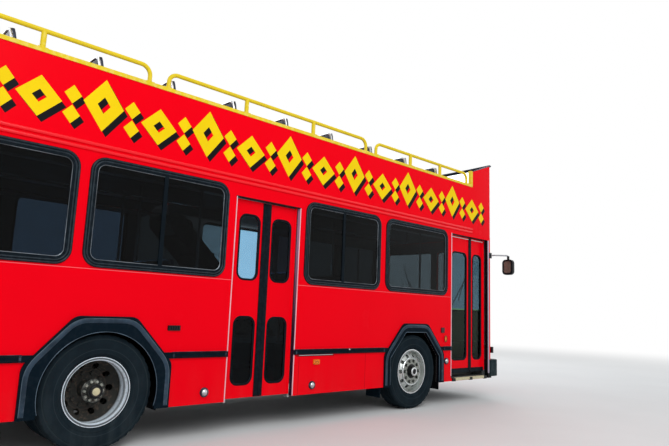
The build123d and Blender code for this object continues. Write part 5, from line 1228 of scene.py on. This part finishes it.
# Strips beside the doors: finish, rear station, front station, inner and outer distance from
# the wall's face, bottom, top
# Rows of finish 2 are dark sheets of painted shade: beside the front door's front post, over the front
# corner's foot and along the mid door's head. The row of finish 1 is the lilac corner strip, a painted
# highlight; rows of finish 0 are bright strips with a painted pink reflection.
JAMBS = [
    (0, 1.275, 1.283, -0.004, 0.010, 0.330, 2.460), (0, 2.167, 2.176, -0.004, 0.010, 0.330, 2.460),
    (0, 5.218, 5.230, 0.0, 0.008, 0.400, 2.548), (1, 6.250, 6.273, -0.013, 0.012, 0.400, 2.545),
    (2, 6.246, 6.252, -0.05, -0.002, 0.402, 2.545), (2, 6.236, 6.330, -0.03, 0.014, 0.326, 0.402),
    (2, 1.271, 2.181, 0.0, 0.006, 2.452, 2.466),
]


class BUS_OT_door_trim(BusOperator, bpy.types.Operator):
    """Seals, pane rubbers, jamb strips and step nosings of the two doors"""
    bl_idname = "bus.door_trim"
    bl_label = "Door Trim"

    def execute(self, context):
        for body, face, rear, front, bottom, top, seam, width, panes in LEAVES:
            shape = Shape()
            low, high = (front - width, front + 0.003) if seam > 0 else (rear - 0.003, rear + width)
            shape.slab((at(low), -face - 0.010, bottom + 0.004), (at(high), -face, top - 0.004))
            if face == FRONT_DOOR_FACE:
                shape.slab((at(rear) + 0.01, -face - 0.006, bottom - 0.02),
                           (at(front) - 0.01, -face + 0.02, bottom + 0.045))
            # Rubbers of the panes and the beads inside them
            for mark, inset, radius, y, width, sides, flat in (
                    (0, -0.004, PANE_RADIUS, -face - 0.001, 0.011, 8, 0.6),
                    (2, 0.006, PANE_RADIUS - 0.008, -face + 0.004, 0.003, 6, 1.0)):
                shape.mark = mark
                for start, end, sill, head in panes:
                    outline = rounded(at(start), at(end), sill, head, radius, inset)
                    shape.tube(upright_loop(outline, y), width, sides, True, flat)
            shape.mark = 1
            if face == FRONT_DOOR_FACE:
                shape.slab((at(rear) + 0.02, -face - 0.005, top - 0.028),
                           (at(front) - 0.03, -face, top - 0.016))
            make_piece(body + "_seals", shape,
                       ["window rubber", "white enamel", "rubber lip"], body, bevel=0.002)

        jambs = Shape()
        for jambs.mark, *spans in JAMBS:
            jambs.side_slab(-1, *spans)
        make_piece("door_jambs", jambs, ["pink strip", "anodised strip", "shadow black"],
                   bevel=0.002)

        step = Shape()
        step.side_slab(-1, 5.330, 6.110, -0.02, 0.016, 0.330, 0.372)
        step.mark = 1
        for station in (5.255, 5.705, 6.110):
            step.side_slab(-1, station, station + 0.075, -0.02, 0.020, 0.322, 0.368)
        make_piece("step_nosing", step, ["cream cap", "black plastic"], bevel=0.004)
        return {"FINISHED"}


# Row of ornaments: first station, distance between them, foot, number
ORNAMENT_START = -2.580
ORNAMENT_PITCH = 0.545
ORNAMENT_LOW = 2.80
ORNAMENT_UNITS = 16


class BUS_OT_ornament(BusOperator, bpy.types.Operator):
    """Painted row of plain large and small lozenges with drop shadows on both parapets"""
    bl_idname = "bus.ornament"
    bl_label = "Ornament"

    def execute(self, context):
        tall = context.scene.bus_detail.ornament_height
        short = tall * 0.74
        small = short / 2

        def lozenge(x, z, width, height, share=1.0):
            width, height = width * share / 2, height * share / 2
            return [(x - width, z), (x, z - height), (x + width, z), (x, z + height)]

        for side, name in ((-1, "ornament_right"), (1, "ornament_left")):
            shape = Shape()
            # Mark, shift along, shift up and stand of the shadows and then of the shapes
            for shape.mark, shift_x, shift_z, proud in ((1, 0.040, -0.044, 0.0010),
                                                        (0, 0.0, 0.0, 0.0022)):
                faces = side * HALF_WIDTH, side * (HALF_WIDTH + proud)
                for k in range(ORNAMENT_UNITS):
                    x = at(ORNAMENT_START + ORNAMENT_PITCH * k) + shift_x
                    z = ORNAMENT_LOW + shift_z
                    height = tall if k % 2 == 0 else short
                    large = x + 0.185, z + height / 2, 0.37, height
                    shape.frame_plate(lozenge(*large), lozenge(*large, share=0.32), *faces)
                    for step in (0.5, 1.5):
                        shape.plate(lozenge(x + 0.455, z + small * step, 0.150, small - 0.012), *faces)
            make_piece(name, shape, ["ornament yellow", "shadow black"])
        return {"FINISHED"}


RIB_HEIGHTS = (2.621, 2.671)
RIB_RADIUS = 0.014
POST_STATIONS = [-2.560, -1.780, -0.775, 0.200, 0.400, 1.340, 2.330, 3.270, 3.470, 4.214, 4.930,
                 5.650]


class BUS_OT_upper_edge(BusOperator, bpy.types.Operator):
    """End strips and top trim of the raised front, and the rail posts' feet"""
    bl_idname = "bus.upper_edge"
    bl_label = "Upper Edge"

    def execute(self, context):
        strips = Shape()
        trim = Shape()
        for side in SIDES:
            strips.slab((at(5.745), side * 1.172, 3.372), (at(5.792), side * 1.232, 3.634))
            trim.tube([(at(5.790), side * 1.200, 3.616), (at(6.372), side * 1.200, 3.842)], 0.017)
        trim.tube([(4.506 + 0.075 * (1 - (y / 1.2) ** 2), y, 3.848)
                   for y in (-1.19, -0.9, -0.6, -0.3, 0.0, 0.3, 0.6, 0.9, 1.19)], 0.018)
        make_piece("raised_edge_strips", strips, ["yellow paint"], bevel=0.004)
        make_piece("raised_top_trim", trim, ["slate trim"])

        # Rolled faces of the two ribs under the ornament
        rolls = Shape()
        low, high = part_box("parapet_sides")
        for z in RIB_HEIGHTS:
            for side in SIDES:
                y = side * (HALF_WIDTH + 0.010)
                rolls.tube([(low[0] + 0.004, y, z), (high[0] - 0.004, y, z)], RIB_RADIUS, 10, flat=0.5)
            rolls.tube([(REAR_FACE_X - 0.002, y, z) for y in (-1.12, 1.12)], RIB_RADIUS, 10)
            rolls.tube([(nose(0.14 * k) + 0.002, 0.14 * k, z) for k in range(-8, 9)], RIB_RADIUS, 10)
        make_piece("rib_rolls", rolls, ["gloss red"])

        feet = Shape()
        for side in SIDES:
            for station in POST_STATIONS:
                x, y = at(station), side * 1.200
                feet.slab((x - 0.042, y - 0.026, CAP_TOP), (x + 0.042, y + 0.026, CAP_TOP + 0.007))
                for shift in (-0.032, 0.032):
                    feet.tube([(x + shift, y, CAP_TOP + 0.006), (x + shift, y, CAP_TOP + 0.013)], 0.007,
                              6)
        make_piece("rail_feet", feet, ["yellow paint"], bevel=0.0015)
        return {"FINISHED"}


SCREEN_SILL = 3.420


class BUS_OT_front_screen(BusOperator, bpy.types.Operator):
    """Raised front of the open deck with a clear screen over its lower half"""
    bl_idname = "bus.front_screen"
    bl_label = "Front Screen"

    def execute(self, context):
        back, corner, centre_y = at(5.785), nose(HALF_WIDTH), HALF_WIDTH - 0.090
        turn_x = corner - 0.090
        reach = nose(centre_y) - turn_x
        shape = Shape()
        for side in SIDES:
            outer = [(back, side * HALF_WIDTH)]
            inner = [(back, side * (HALF_WIDTH - 0.040))]
            for step in range(9):
                a = math.radians(90 * step / 8)
                outer.append((turn_x + reach * math.sin(a), side * (centre_y + 0.090 * math.cos(a))))
                inner.append((turn_x + (reach - 0.040) * math.sin(a),
                              side * (centre_y + 0.050 * math.cos(a))))
            tops = [min(3.845, 3.620 + 0.225 * (x - back) / (corner - back)) for x, y in outer]
            shape.wall(outer, inner, DECK_UNDERSIDE, tops)
        shape.bowed(centre_y, -0.040, 0.0, DECK_UNDERSIDE, SCREEN_SILL)
        made = make_piece("front_panel", shape, ["red paint"])
        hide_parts("parapet_front")

        pane = Shape()
        pane.bowed(centre_y - 0.001, -0.024, -0.018, SCREEN_SILL + 0.002, 3.834)
        make_piece("front_panel_glass", pane, ["screen glass"])
        seals = Shape()
        edge = centre_y - 0.014
        outline = rounded(-edge, edge, SCREEN_SILL + 0.012, 3.826, 0.03)
        seals.tube(bowed_loop(outline, -0.021), 0.015, 8, True)
        seals.mark = 1
        for y in (0.0, centre_y - 0.020, 0.020 - centre_y):
            seals.slab((nose(y) - 0.042, y - 0.018, SCREEN_SILL - 0.010),
                       (nose(y) - 0.004, y + 0.018, 3.838))
        make_piece("front_panel_seals", seals, ["window rubber", "slate trim"])
        return {"FINISHED"}


def end_marker(shape, x, y, z, out):
    """Small marker lamp on an end wall, on its dark seat. out is 1 in front and -1 behind."""
    for shape.mark, back, front, half_y, half_z in ((0, 0.0, 0.018, 0.032, 0.012),
                                                    (1, -0.002, 0.006, 0.040, 0.019)):
        shape.slab((x + out * back, y - half_y, z - half_z), (x + out * front, y + half_y, z + half_z))


# Tail lamps: Y, height, radius
TAIL_LAMPS = [(1.080, 0.780, 0.055), (1.080, 0.930, 0.055), (1.080, 1.080, 0.055),
              (0.930, 0.780, 0.040)]
REAR_WINDOW_HALF = 0.860
# Shut lines on the engine door: low corner and high corner as (y, z)
ENGINE_DOOR_LINES = [
    ((-0.842, 0.648), (0.842, 0.654)), ((-0.842, 1.316), (0.842, 1.322)),
    ((-0.842, 0.648), (-0.836, 1.322)), ((0.836, 0.648), (0.842, 1.322)),
    ((-0.600, 0.757), (0.600, 0.763)), ((-0.600, 1.207), (0.600, 1.213)),
]


class BUS_OT_rear(BusOperator, bpy.types.Operator):
    """Tail lamp rims, rear window beads, blank plate and the engine door's fittings"""
    bl_idname = "bus.rear"
    bl_label = "Rear"

    def execute(self, context):
        face = REAR_FACE_X
        rims = Shape()
        for y, z, radius in TAIL_LAMPS:
            for side in SIDES:
                for rims.mark, gap, x, width in ((0, 0.007, face - 0.004, 0.009),
                                                 (1, 0.002, face - 0.014, 0.004)):
                    rims.tube([(x, side * y + u, z + v) for u, v in circle(radius + gap, 32)], width, 8,
                              True)
        for rims.mark, inset, width, x in ((0, *LIPS[0], face - 0.010), (0, *LIPS[1], face - 0.010),
                                           (1, RUBBER_WIDTH + 0.002, 0.004, face - 0.005)):
            outline = window_outline(-REAR_WINDOW_HALF, REAR_WINDOW_HALF, inset)
            rims.tube([(x, y, z) for y, z in outline], width, 6, True)
        make_piece("rear_rims", rims, ["rubber lip", "window bead"])

        rear = Shape()
        for y in (-1.02, -0.15, 0.0, 0.15, 1.02):
            end_marker(rear, face, y, 2.800, -1)
        make_piece("rear_markers", rear, ["lens", "black plastic"], bevel=0.003)

        plate = Shape()
        plate.slab((-4.686, -0.153, 0.402), (-4.683, 0.153, 0.556))
        plate.mark = 1
        plate.slab((-4.684, -0.165, 0.390), (-4.672, 0.165, 0.568))
        for y in (-0.215, 0.215):
            plate.slab((-4.700, y - 0.028, 0.462), (-4.672, y + 0.028, 0.500))
        make_piece("blank_plate", plate, ["white enamel", "black plastic"],
                   bevel=0.002)

        door = Shape()
        for k in range(9):
            z = 0.985 + 0.048 * (k - 4)
            door.plate([(face, z + 0.020), (face, z + 0.012), (face - 0.014, z - 0.004),
                        (face - 0.014, z)], -0.575, 0.575)
        door.mark = 1
        for low, high in ENGINE_DOOR_LINES:
            door.slab((face - 0.004, *low), (face, *high))
        door.slab((face + 0.0405, -0.600, 0.765), (face + 0.0430, 0.600, 1.205))
        door.mark = 2
        for y in (-0.70, 0.70):
            door.slab((face - 0.012, y - 0.045, 0.690), (face, y + 0.045, 0.725))
            door.slab((face - 0.022, y - 0.030, 0.700), (face - 0.010, y + 0.030, 0.714))
        make_piece("engine_door_fittings", door, ["red paint", "shadow black", "chrome"],
                   "engine_door", bevel=0.0015)
        return {"FINISHED"}


AXLES = (0.0, WHEELBASE)
# Radii of the crescent inside the rear arch trims
REAR_CRESCENT = (0.521, 0.548)
# Arch lines: half width, shoulder, top half, top, corner radius, bar radius, finish
ARCH_LINES = [(0.647, 0.737, 0.267, 1.147, 0.118, 0.006, 0),
              (0.616, 0.726, 0.254, 1.115, 0.105, 0.020, 1),
              (0.636, 0.733, 0.262, 1.136, 0.114, 0.0035, 2)]
# Rub strips: side, rear station, front station
STRIP_SPANS = [(-1, -2.595, -0.657), (-1, 0.657, 1.268), (-1, 2.184, 3.713),
               (-1, 5.027, 5.216), (1, -2.595, -0.657), (1, 0.657, 3.713), (1, 5.027, 6.250)]


def arch_path(station, y, foot, shoulder, top, corner):
    """Path over a wheel arch, from the three points (half width, height) of its front half."""
    half = [foot, shoulder, top]
    places = [(-x, z) for x, z in half] + half[::-1]
    return smooth_path([(at(station) + x, y, z) for x, z in places], corner)


class BUS_OT_side_trim(BusOperator, bpy.types.Operator):
    """Ridges of the arch trims, grooves of the rub strips and frames of the markers"""
    bl_idname = "bus.side_trim"
    bl_label = "Side Trim"

    def execute(self, context):
        ridges = Shape()
        for side in SIDES:
            y = side * (HALF_WIDTH + 0.021)
            for station in AXLES:
                # The ridge bar and the thin outer line take the lighter finishes: painted highlights
                # along the trims.
                for half, shoulder, top_half, top, corner, radius, mark in ARCH_LINES:
                    ridges.mark = mark
                    path = arch_path(station, y, (half, 0.350), (half, shoulder), (top_half, top),
                                     corner)
                    ridges.tube(path, radius, flat=0.35 if mark == 1 else 0.9)
            # Thin lips of the openings, a round one behind and a straight-sided one in front, in the
            # pale ridge finish: painted highlights along the openings' inner edges
            ridges.mark = 2
            sweep = [math.radians(-16 + 4 * k) for k in range(54)]
            inner, outer = ([(at(0) + radius * math.cos(a), AXLE_Z + radius * math.sin(a))
                             for a in sweep] for radius in REAR_CRESCENT)
            ridges.tube(upright_loop(inner, y), 0.003, 6)
            ridges.mark = 0
            for k in range(len(sweep) - 1):
                ridges.plate([inner[k], outer[k], outer[k + 1], inner[k + 1]],
                             side * (HALF_WIDTH + 0.004), y)
            ridges.mark = 2
            ridges.tube(arch_path(WHEELBASE, y, (0.542, 0.352), (0.542, 0.701), (0.226, 1.037), 0.02),
                        0.0035, 6)
        make_piece("arch_ridges", ridges, ["arch rubber", "arch ridge", "ridge line"])

        # Black rubber aprons on the front legs of the wheel liners; besides being aprons they are dark
        # sheets of painted shade, hiding the pale floor under the body
        aprons = Shape()
        for side in SIDES:
            for station in AXLES:
                far, drop = (1.168, 0.215) if station else (1.050, 0.275)
                aprons.slab((at(station + 0.622), side * 0.860, drop),
                            (at(station + 0.630), side * far, 0.430))
                for y in (0.90, 1.01):
                    aprons.lathe([(0.0005, -0.010), (0.008, -0.010), (0.011, 0.0), (0.0005, 0.0)],
                                 (at(station + 0.634), side * y, 0.400), 12)
        make_piece("aprons", aprons, ["shadow black"], bevel=0.002)

        strips = Shape()
        for side, rear, front in STRIP_SPANS:
            y = side * (HALF_WIDTH + 0.017)
            strips.mark = 0
            for z in (0.786, 0.821):
                strips.tube([(at(rear), y, z), (at(front), y, z)], 0.006, 6)
            strips.mark = 1
            strips.side_slab(side, rear, front, 0.0, 0.010, 0.832, 0.836)
            for station in (rear + 0.004, front - 0.022):
                strips.side_slab(side, station, station + 0.018, 0.017, 0.021, 0.778, 0.829)
        strips.mark = 2
        for side in SIDES:
            for station in AXLES:
                for way in (-1, 1):
                    strips.plate([(at(station + way * s), z) for s, z in
                                  ((0.657, STRIP_BOTTOM), (0.618, STRIP_BOTTOM),
                                   (0.570, STRIP_TOP), (0.657, STRIP_TOP))],
                                 side * HALF_WIDTH, side * (HALF_WIDTH + 0.018))
        make_piece("strip_ribs", strips, ["window rubber", "slate trim", "arch rubber"],
                   bevel=0.001)

        # Latch of the skirt hatch behind the front wheel, and under it a thin dark strip of painted
        # shadow along the hatch's top edge
        latch = Shape()
        for side in SIDES:
            for latch.mark, *spans in ((0, 2.250, 2.780, 0.0, 0.006, 0.764, 0.770),
                                       (1, 2.217, 2.801, 0.0, 0.006, 0.757, 0.763)):
                latch.side_slab(side, *spans)
            latch.mark = 0
            latch.lathe([(0.0005, 0.026), (0.008, 0.025), (0.012, 0.020), (0.013, 0.008)],
                        (at(3.051), side * HALF_WIDTH, 0.822), 16, False, side=side)
        make_piece("hatch_trim", latch, ["bright metal", "shadow black"])

        # Domes and dark seats of the round caps
        domes = Shape()
        for side in SIDES:
            for station, z in ((1.039, 0.437), (2.463, 0.427), (5.101, 0.622)):
                centre = (at(station), side * HALF_WIDTH, z)
                domes.mark = 0
                domes.lathe([(0.0005, 0.034), (0.012, 0.0325), (0.024, 0.027), (0.033, 0.0185),
                             (0.036, 0.010)], centre, 32, False, side=side)
                domes.mark = 1
                domes.lathe([(0.036, 0.0195), (0.042, 0.0195), (0.047, 0.010), (0.047, 0.0),
                             (0.036, 0.0)], centre, 32, side=side)
        make_piece("cap_domes", domes, ["chrome", "slate trim"])

        # Louvre over the small vent and rims of the oval lamps
        vents = Shape()
        middle_x, middle_z, half_x, half_z = OVAL_LAMP
        for side in SIDES:
            for k in range(5):
                station = 0.607 + 0.025 * k
                vents.side_slab(side, station - 0.007, station + 0.007, 0.014, 0.022, 1.044, 1.078)
            vents.side_slab(side, 0.595, 0.719, 0.014, 0.024, 1.078, 1.084)
            y = side * (HALF_WIDTH + 0.015)
            vents.tube([(middle_x + half_x * u, y, middle_z + half_z * v) for u, v in circle(1.0, 32)],
                       0.005, 8, True)
        make_piece("vent_slats", vents, ["black plastic"], bevel=0.001)
        return {"FINISHED"}


def pad_points(half, radius, crown, seams, cuts=9):
    """Rounded, crowned pad about the origin with sewn channels across Y. Returns a bmesh."""
    work = bmesh.new()
    bmesh.ops.create_cube(work, size=2.0)
    bmesh.ops.subdivide_edges(work, edges=work.edges, cuts=cuts, use_grid_fill=True)
    for vertex in work.verts:
        place = [vertex.co[i] * half[i] for i in range(3)]
        core = [max(-(half[i] - radius), min(half[i] - radius, place[i])) for i in range(3)]
        away = Vector(place) - Vector(core)
        point = Vector(core)
        if away.length > 0:
            point += away.normalized() * radius
        u = point.x / half[0]
        v = point.y / half[1]
        point.x *= 1 - 0.02 * (1 - v * v)
        point.y *= 1 - 0.02 * (1 - u * u)
        if point.z > 0:
            swell = crown * (1 - u * u) * (1 - v * v)
            for seam in seams:
                swell -= 0.010 * math.exp(-((point.x - seam) / 0.010) ** 2)
            point.z += swell
        vertex.co = point
    return work


def add_pad(shape, work, turn):
    """Adds a copy of a pad, moved by a matrix, to a shape."""
    work.verts.ensure_lookup_table()
    shape.add([tuple(turn @ vertex.co) for vertex in work.verts],
              [[vertex.index for vertex in face.verts] for face in work.faces])


CUSHION_LOW = 0.370
# Seat pairs below: station of the back's foot, side, floor height, cushion underside height
LOWER_ROWS = [
    (0.680, -1, FLOOR_TOP, CUSHION_LOW), (0.680, 1, FLOOR_TOP, CUSHION_LOW),
    (2.340, -1, FLOOR_TOP, CUSHION_LOW), (3.040, -1, FLOOR_TOP, CUSHION_LOW),
    (-1.240, -1, FLOOR_TOP, CUSHION_LOW), (-1.240, 1, FLOOR_TOP, CUSHION_LOW),
    (-1.860, -1, REAR_PLATFORM_TOP, 0.0), (-1.860, 1, REAR_PLATFORM_TOP, 0.0),
    (-2.540, -1, REAR_PLATFORM_TOP, 0.0), (-2.540, 1, REAR_PLATFORM_TOP, 0.0),
]
SEAT_INNER_Y = 0.270
SEAT_WIDTH = 0.880


def upper_rows():
    """Station and side of every seat pair on the open deck."""
    rows = []
    for k in range(11):
        station = -2.420 + 0.740 * k
        rows.append((station, -1))
        if station + 0.440 < 1.320 or station - 0.090 > 3.430:
            rows.append((station, 1))
    return rows


def seat_parts(pads, frames, station, middle_y, width, floor, low, places):
    """One bench of padded places on a tube frame, facing forward."""
    each = width / places
    cushion = pad_points((0.205, each / 2 - 0.012, 0.040), 0.030, 0.014, (-0.07, 0.07))
    back = pad_points((0.215, each / 2 - 0.012, 0.026), 0.022, 0.010, (-0.07, 0.06))
    lean = math.atan2(0.090, 0.390)
    x, base = at(station), floor + low
    for place in range(places):
        y = middle_y + (place - (places - 1) / 2) * each
        add_pad(pads, cushion, Matrix.Translation((x + 0.228, y, base + 0.040)))
        add_pad(pads, back, Matrix.Translation((x - 0.014, y, base + 0.264))
                @ Matrix.Rotation(math.pi / 2 - lean, 4, "Y"))
    cushion.free()
    back.free()
    half = width / 2 - 0.016
    for y in (middle_y - half, middle_y + half):
        frames.tube(smooth_path([(x + 0.400, y, base + 0.010), (x + 0.020, y, base + 0.010),
                                 (x - 0.084, y, base + 0.458)], 0.05), 0.012)
    frames.tube(smooth_path([(x + shift, middle_y + end * half, base + rise)
                             for shift, end, rise in ((-0.060, -1, 0.380), (-0.080, -1, 0.468),
                                                      (-0.080, 1, 0.468), (-0.060, 1, 0.380))], 0.07),
                0.012)
    for shift in (0.08, 0.36):
        frames.tube([(x + shift, middle_y + end * (half - 0.004), base + 0.004) for end in (-1, 1)],
                    0.014)
    if low > 0:
        for shift in (0.10, 0.34):
            for y in (middle_y - 0.12, middle_y + 0.12):
                frames.tube([(x + shift, y, base), (x + shift, y, floor + 0.006)], 0.016)
        frames.slab((x + 0.075, middle_y - 0.145, floor), (x + 0.365, middle_y + 0.145, floor + 0.008))


class BUS_OT_seats(BusOperator, bpy.types.Operator):
    """Padded seats on tube frames, on both decks and for the driver"""
    bl_idname = "bus.seats"
    bl_label = "Seats"

    def execute(self, context):
        middle = SEAT_INNER_Y + SEAT_WIDTH / 2
        pads = Shape()
        frames = Shape()
        for station, side in upper_rows():
            seat_parts(pads, frames, station, side * middle, SEAT_WIDTH, DECK_TOP, CUSHION_LOW, 2)
        cushions = make_piece("upper_seat_pads", pads, ["seat vinyl"])
        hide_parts("seats_upper")
        make_piece("upper_seat_frames", frames, ["bright metal"])

        pads = Shape()
        frames = Shape()
        for station, side, floor, low in LOWER_ROWS:
            seat_parts(pads, frames, station, side * middle, SEAT_WIDTH, floor, low, 2)
        seat_parts(pads, frames, 5.300, 0.720, 0.500, FLOOR_TOP, CUSHION_LOW, 1)
        # Sideways benches over the wheels
        bench = pad_points((0.258, 0.252, 0.046), 0.030, 0.012, (0.0,))
        rest = pad_points((0.258, 0.180, 0.026), 0.020, 0.008, (0.0,))
        for side in SIDES:
            for station in AXLES:
                add_pad(pads, bench, Matrix.Translation((at(station), side * 0.895, 1.163)))
                add_pad(pads, rest, Matrix.Translation((at(station), side * 1.123, 1.393))
                        @ Matrix.Rotation(side * math.pi / 2, 4, "X"))
        bench.free()
        rest.free()
        cushions = make_piece("lower_seat_pads", pads, ["seat cloth"])
        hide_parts("seats_lower")
        make_piece("lower_seat_frames", frames, ["bright metal"])
        return {"FINISHED"}


# Ceiling coves clear of the front door and the stair: side, spans of stations
COVE_SPANS = {-1: [(-2.55, 5.15)], 1: [(-2.55, 1.36), (3.40, 6.10)]}
# Hand rails under the ceiling, in the same way
RAIL_SPANS = {-1: [(-2.2, 1.3), (2.2, 5.1)], 1: [(-2.2, 1.3)]}


class BUS_OT_cabin(BusOperator, bpy.types.Operator):
    """Ceiling coves, light strips and hand rails of the lower deck"""
    bl_idname = "bus.cabin"
    bl_label = "Cabin"

    def execute(self, context):
        coves = Shape()
        rails = Shape()
        outline = [(1.165, 2.598), (1.165, 2.500), (1.120, 2.470), (0.860, 2.560), (0.800, 2.598)]
        for side in SIDES:
            for span in COVE_SPANS[side]:
                coves.prism(*([(at(station), side * y, z) for y, z in outline] for station in span))
            coves.mark = 1
            coves.slab((at(-2.4), side * 0.52, 2.578),
                       (at(1.30 if side > 0 else 6.0), side * 0.62, 2.599))
            coves.mark = 0
            for start, end in RAIL_SPANS[side]:
                rails.tube(smooth_path([(at(station), side * 0.44, z) for station, z in
                                        ((start, 2.598), (start, 2.42), (end, 2.42),
                                         (end, 2.598))], 0.05), 0.015)
        coves.slab((at(1.38), 0.496, 2.478), (at(3.38), 0.512, 2.599))
        make_piece("ceiling_coves", coves, ["ceiling panel", "white enamel"], bevel=0.003)
        make_piece("ceiling_rails", rails, ["bright metal"])

        deck = Shape()
        low, high = DECK_TOP, DECK_TOP + 0.004
        for y in (-0.262, 0.237):
            deck.slab((at(-2.55), y, low), (at(6.20), y + 0.025, high))
        # Painted border of the stair opening
        deck.mark = 1
        for (x0, y0), (x1, y1) in (((1.38, 0.445), (3.37, 0.480)), ((1.38, 0.480), (1.415, 1.13)),
                                   ((3.335, 0.480), (3.37, 1.13))):
            deck.slab((at(x0), y0, low), (at(x1), y1, high))
        deck.mark = 2
        for k in range(58):
            x = at(-2.50 + 0.15 * k)
            deck.slab((x, -0.225, low), (x + 0.03, 0.225, low + 0.002))
        make_piece("deck_strips", deck, ["bare steel", "yellow paint", "floor vinyl"])
        return {"FINISHED"}


HEADLAMP_YS = (-0.900, 0.900, -0.690, 0.690)
HEADLAMP_Z = 0.800
HEADLAMP_RADIUS = 0.092
HEADLAMP_RIM_X = 4.595
BUMPER_REAR_X = -4.675
BUMPER_RIBS = (0.395, 0.440, 0.520, 0.565)
# Mirror heads: X of the glass's middle plane, Y and height of the middle
MIRROR_X = at(6.470)
MIRROR_Y = 1.470
MIRROR_Z = 2.110


class BUS_OT_ends(BusOperator, bpy.types.Operator):
    """Wipers, lamp rims, blank sign, mirror glass and bumper ribs"""
    bl_idname = "bus.ends"
    bl_label = "Ends"

    def execute(self, context):
        rims = Shape()
        for y in HEADLAMP_YS:
            rims.mark = 0
            rims.tube([(HEADLAMP_RIM_X, y + u, HEADLAMP_Z + v) for u, v in circle(HEADLAMP_RADIUS, 36)],
                      0.007, 8, True)
            rims.mark = 1
            rims.tube([(nose(y) - 0.006, y, HEADLAMP_Z), (4.588, y, HEADLAMP_Z)],
                      HEADLAMP_RADIUS + 0.005, 36)
        for y in (0.555, -1.135):
            ys = [y + 0.58 * k / 6 for k in range(7)]
            rims.wall([(nose(v) + 0.006, v) for v in ys], [(nose(v) - 0.004, v) for v in ys], 0.688,
                      [0.912] * 7)
        for side in SIDES:
            rims.side_slab(side, 6.352, 6.392, -0.03, 0.016, 0.715, 0.812)
        for k in range(5):
            z = 0.720 + 0.036 * k
            rims.bowed(0.46, -0.004, 0.008, z, z + 0.018)
        make_piece("lamp_rims", rims, ["chrome", "black plastic"], bevel=0.002)

        front = Shape()
        for y in (-1.00, -0.15, 0.0, 0.15, 1.00):
            end_marker(front, nose(y), y, 2.790, 1)
        make_piece("front_markers", front, ["lens", "black plastic"], bevel=0.003)

        wipers = Shape()
        for side in SIDES:
            x, y, z = nose(0.25) + 0.018, side * 0.25, 1.290
            wipers.tube([(x, y, z), (nose(0.60) + 0.030, side * 0.62, 1.90)], 0.008)
            wipers.tube([(nose(0.5) + 0.020, side * 0.50, 1.55),
                         (nose(0.72) + 0.018, side * 0.74, 2.24)], 0.007, 6)
            wipers.tube([(x - 0.03, y, z), (x + 0.010, y, z)], 0.022, 12)
        make_piece("wipers", wipers, ["black plastic"])

        sign = Shape()
        for i in range(12):
            ys = (-0.78 + 0.13 * i, -0.65 + 0.13 * i)
            sign.wall([(nose(y) + 0.006, y) for y in ys], [(nose(y), y) for y in ys], 2.93, [3.25] * 2)
        sign.mark = 1
        outline = rounded(-0.795, 0.795, 2.915, 3.265, 0.04)
        sign.tube(bowed_loop(outline, 0.004), 0.014, 8, True)
        make_piece("blank_sign", sign, ["shadow black", "rubber lip"])

        ribs = Shape()
        for z in BUMPER_RIBS:
            ribs.tube([(nose(y) + 0.068, y, z) for y in (-1.05, -0.7, -0.35, 0.0, 0.35, 0.7, 1.05)],
                      0.007, 6)
            ribs.tube([(BUMPER_REAR_X, -1.13, z), (BUMPER_REAR_X, 1.13, z)], 0.007, 6)
        for side in SIDES:
            ribs.side_slab(side, 6.274, 6.495, -0.100, 0.018, 0.352, 0.608)
        make_piece("bumper_ribs", ribs, ["bumper rubber"], bevel=0.004)

        mirrors = Shape()
        for y in (-MIRROR_Y, MIRROR_Y):
            def facing(shift, grow, radius):
                return [(MIRROR_X - shift, y + across, MIRROR_Z + up)
                        for across, up in rounded(-0.062, 0.062, -0.096, 0.096, radius, -grow)]

            # The glass is a flat brown: a painted reflection, not a mirror.
            mirrors.mark = 0
            mirrors.prism(facing(0.0275, 0.0, 0.036), facing(0.0315, 0.0, 0.036))
            mirrors.mark = 1
            mirrors.tube(facing(0.029, 0.004, 0.039), 0.006, 8, True)
            mirrors.tube([(MIRROR_X, y, 2.235), (MIRROR_X, y, 2.292)], 0.020, 12)
        make_piece("mirror_faces", mirrors, ["mirror glass", "black plastic"])
        return {"FINISHED"}


class BUS_PT_panel(bpy.types.Panel):
    """Buttons and settings of the bus"""
    bl_idname = "BUS_PT_panel"
    bl_label = "Open Top Bus"
    bl_space_type = "VIEW_3D"
    bl_region_type = "UI"
    bl_category = "Bus"

    def draw(self, context):
        for name in ("bus_paint", "bus_stage", "bus_detail"):
            settings = getattr(context.scene, name)
            box = self.layout.box()
            for key in settings.bl_rna.properties.keys():
                if key not in ("rna_type", "name"):
                    box.prop(settings, key)
        for made in OPERATORS:
            self.layout.operator(made.bl_idname)


OPERATORS = [BUS_OT_stage, BUS_OT_finishes, BUS_OT_tyres, BUS_OT_hubs, BUS_OT_window_trim,
             BUS_OT_door_trim, BUS_OT_ornament, BUS_OT_upper_edge, BUS_OT_front_screen,
             BUS_OT_rear, BUS_OT_side_trim, BUS_OT_seats, BUS_OT_cabin, BUS_OT_ends]
SETTINGS = [("bus_paint", BusPaint), ("bus_stage", BusStage), ("bus_detail", BusDetail)]


def register():
    for name, group in SETTINGS:
        bpy.utils.register_class(group)
        setattr(bpy.types.Scene, name, bpy.props.PointerProperty(type=group))
    for made in OPERATORS:
        bpy.utils.register_class(made)
    bpy.utils.register_class(BUS_PT_panel)


def unregister():
    bpy.utils.unregister_class(BUS_PT_panel)
    for made in reversed(OPERATORS):
        bpy.utils.unregister_class(made)
    for name, group in SETTINGS:
        delattr(bpy.types.Scene, name)
        bpy.utils.unregister_class(group)


def main():
    register()
    for made in OPERATORS:
        getattr(bpy.ops.bus, made.bl_idname.removeprefix("bus."))()


if __name__ == "__main__":
    main()
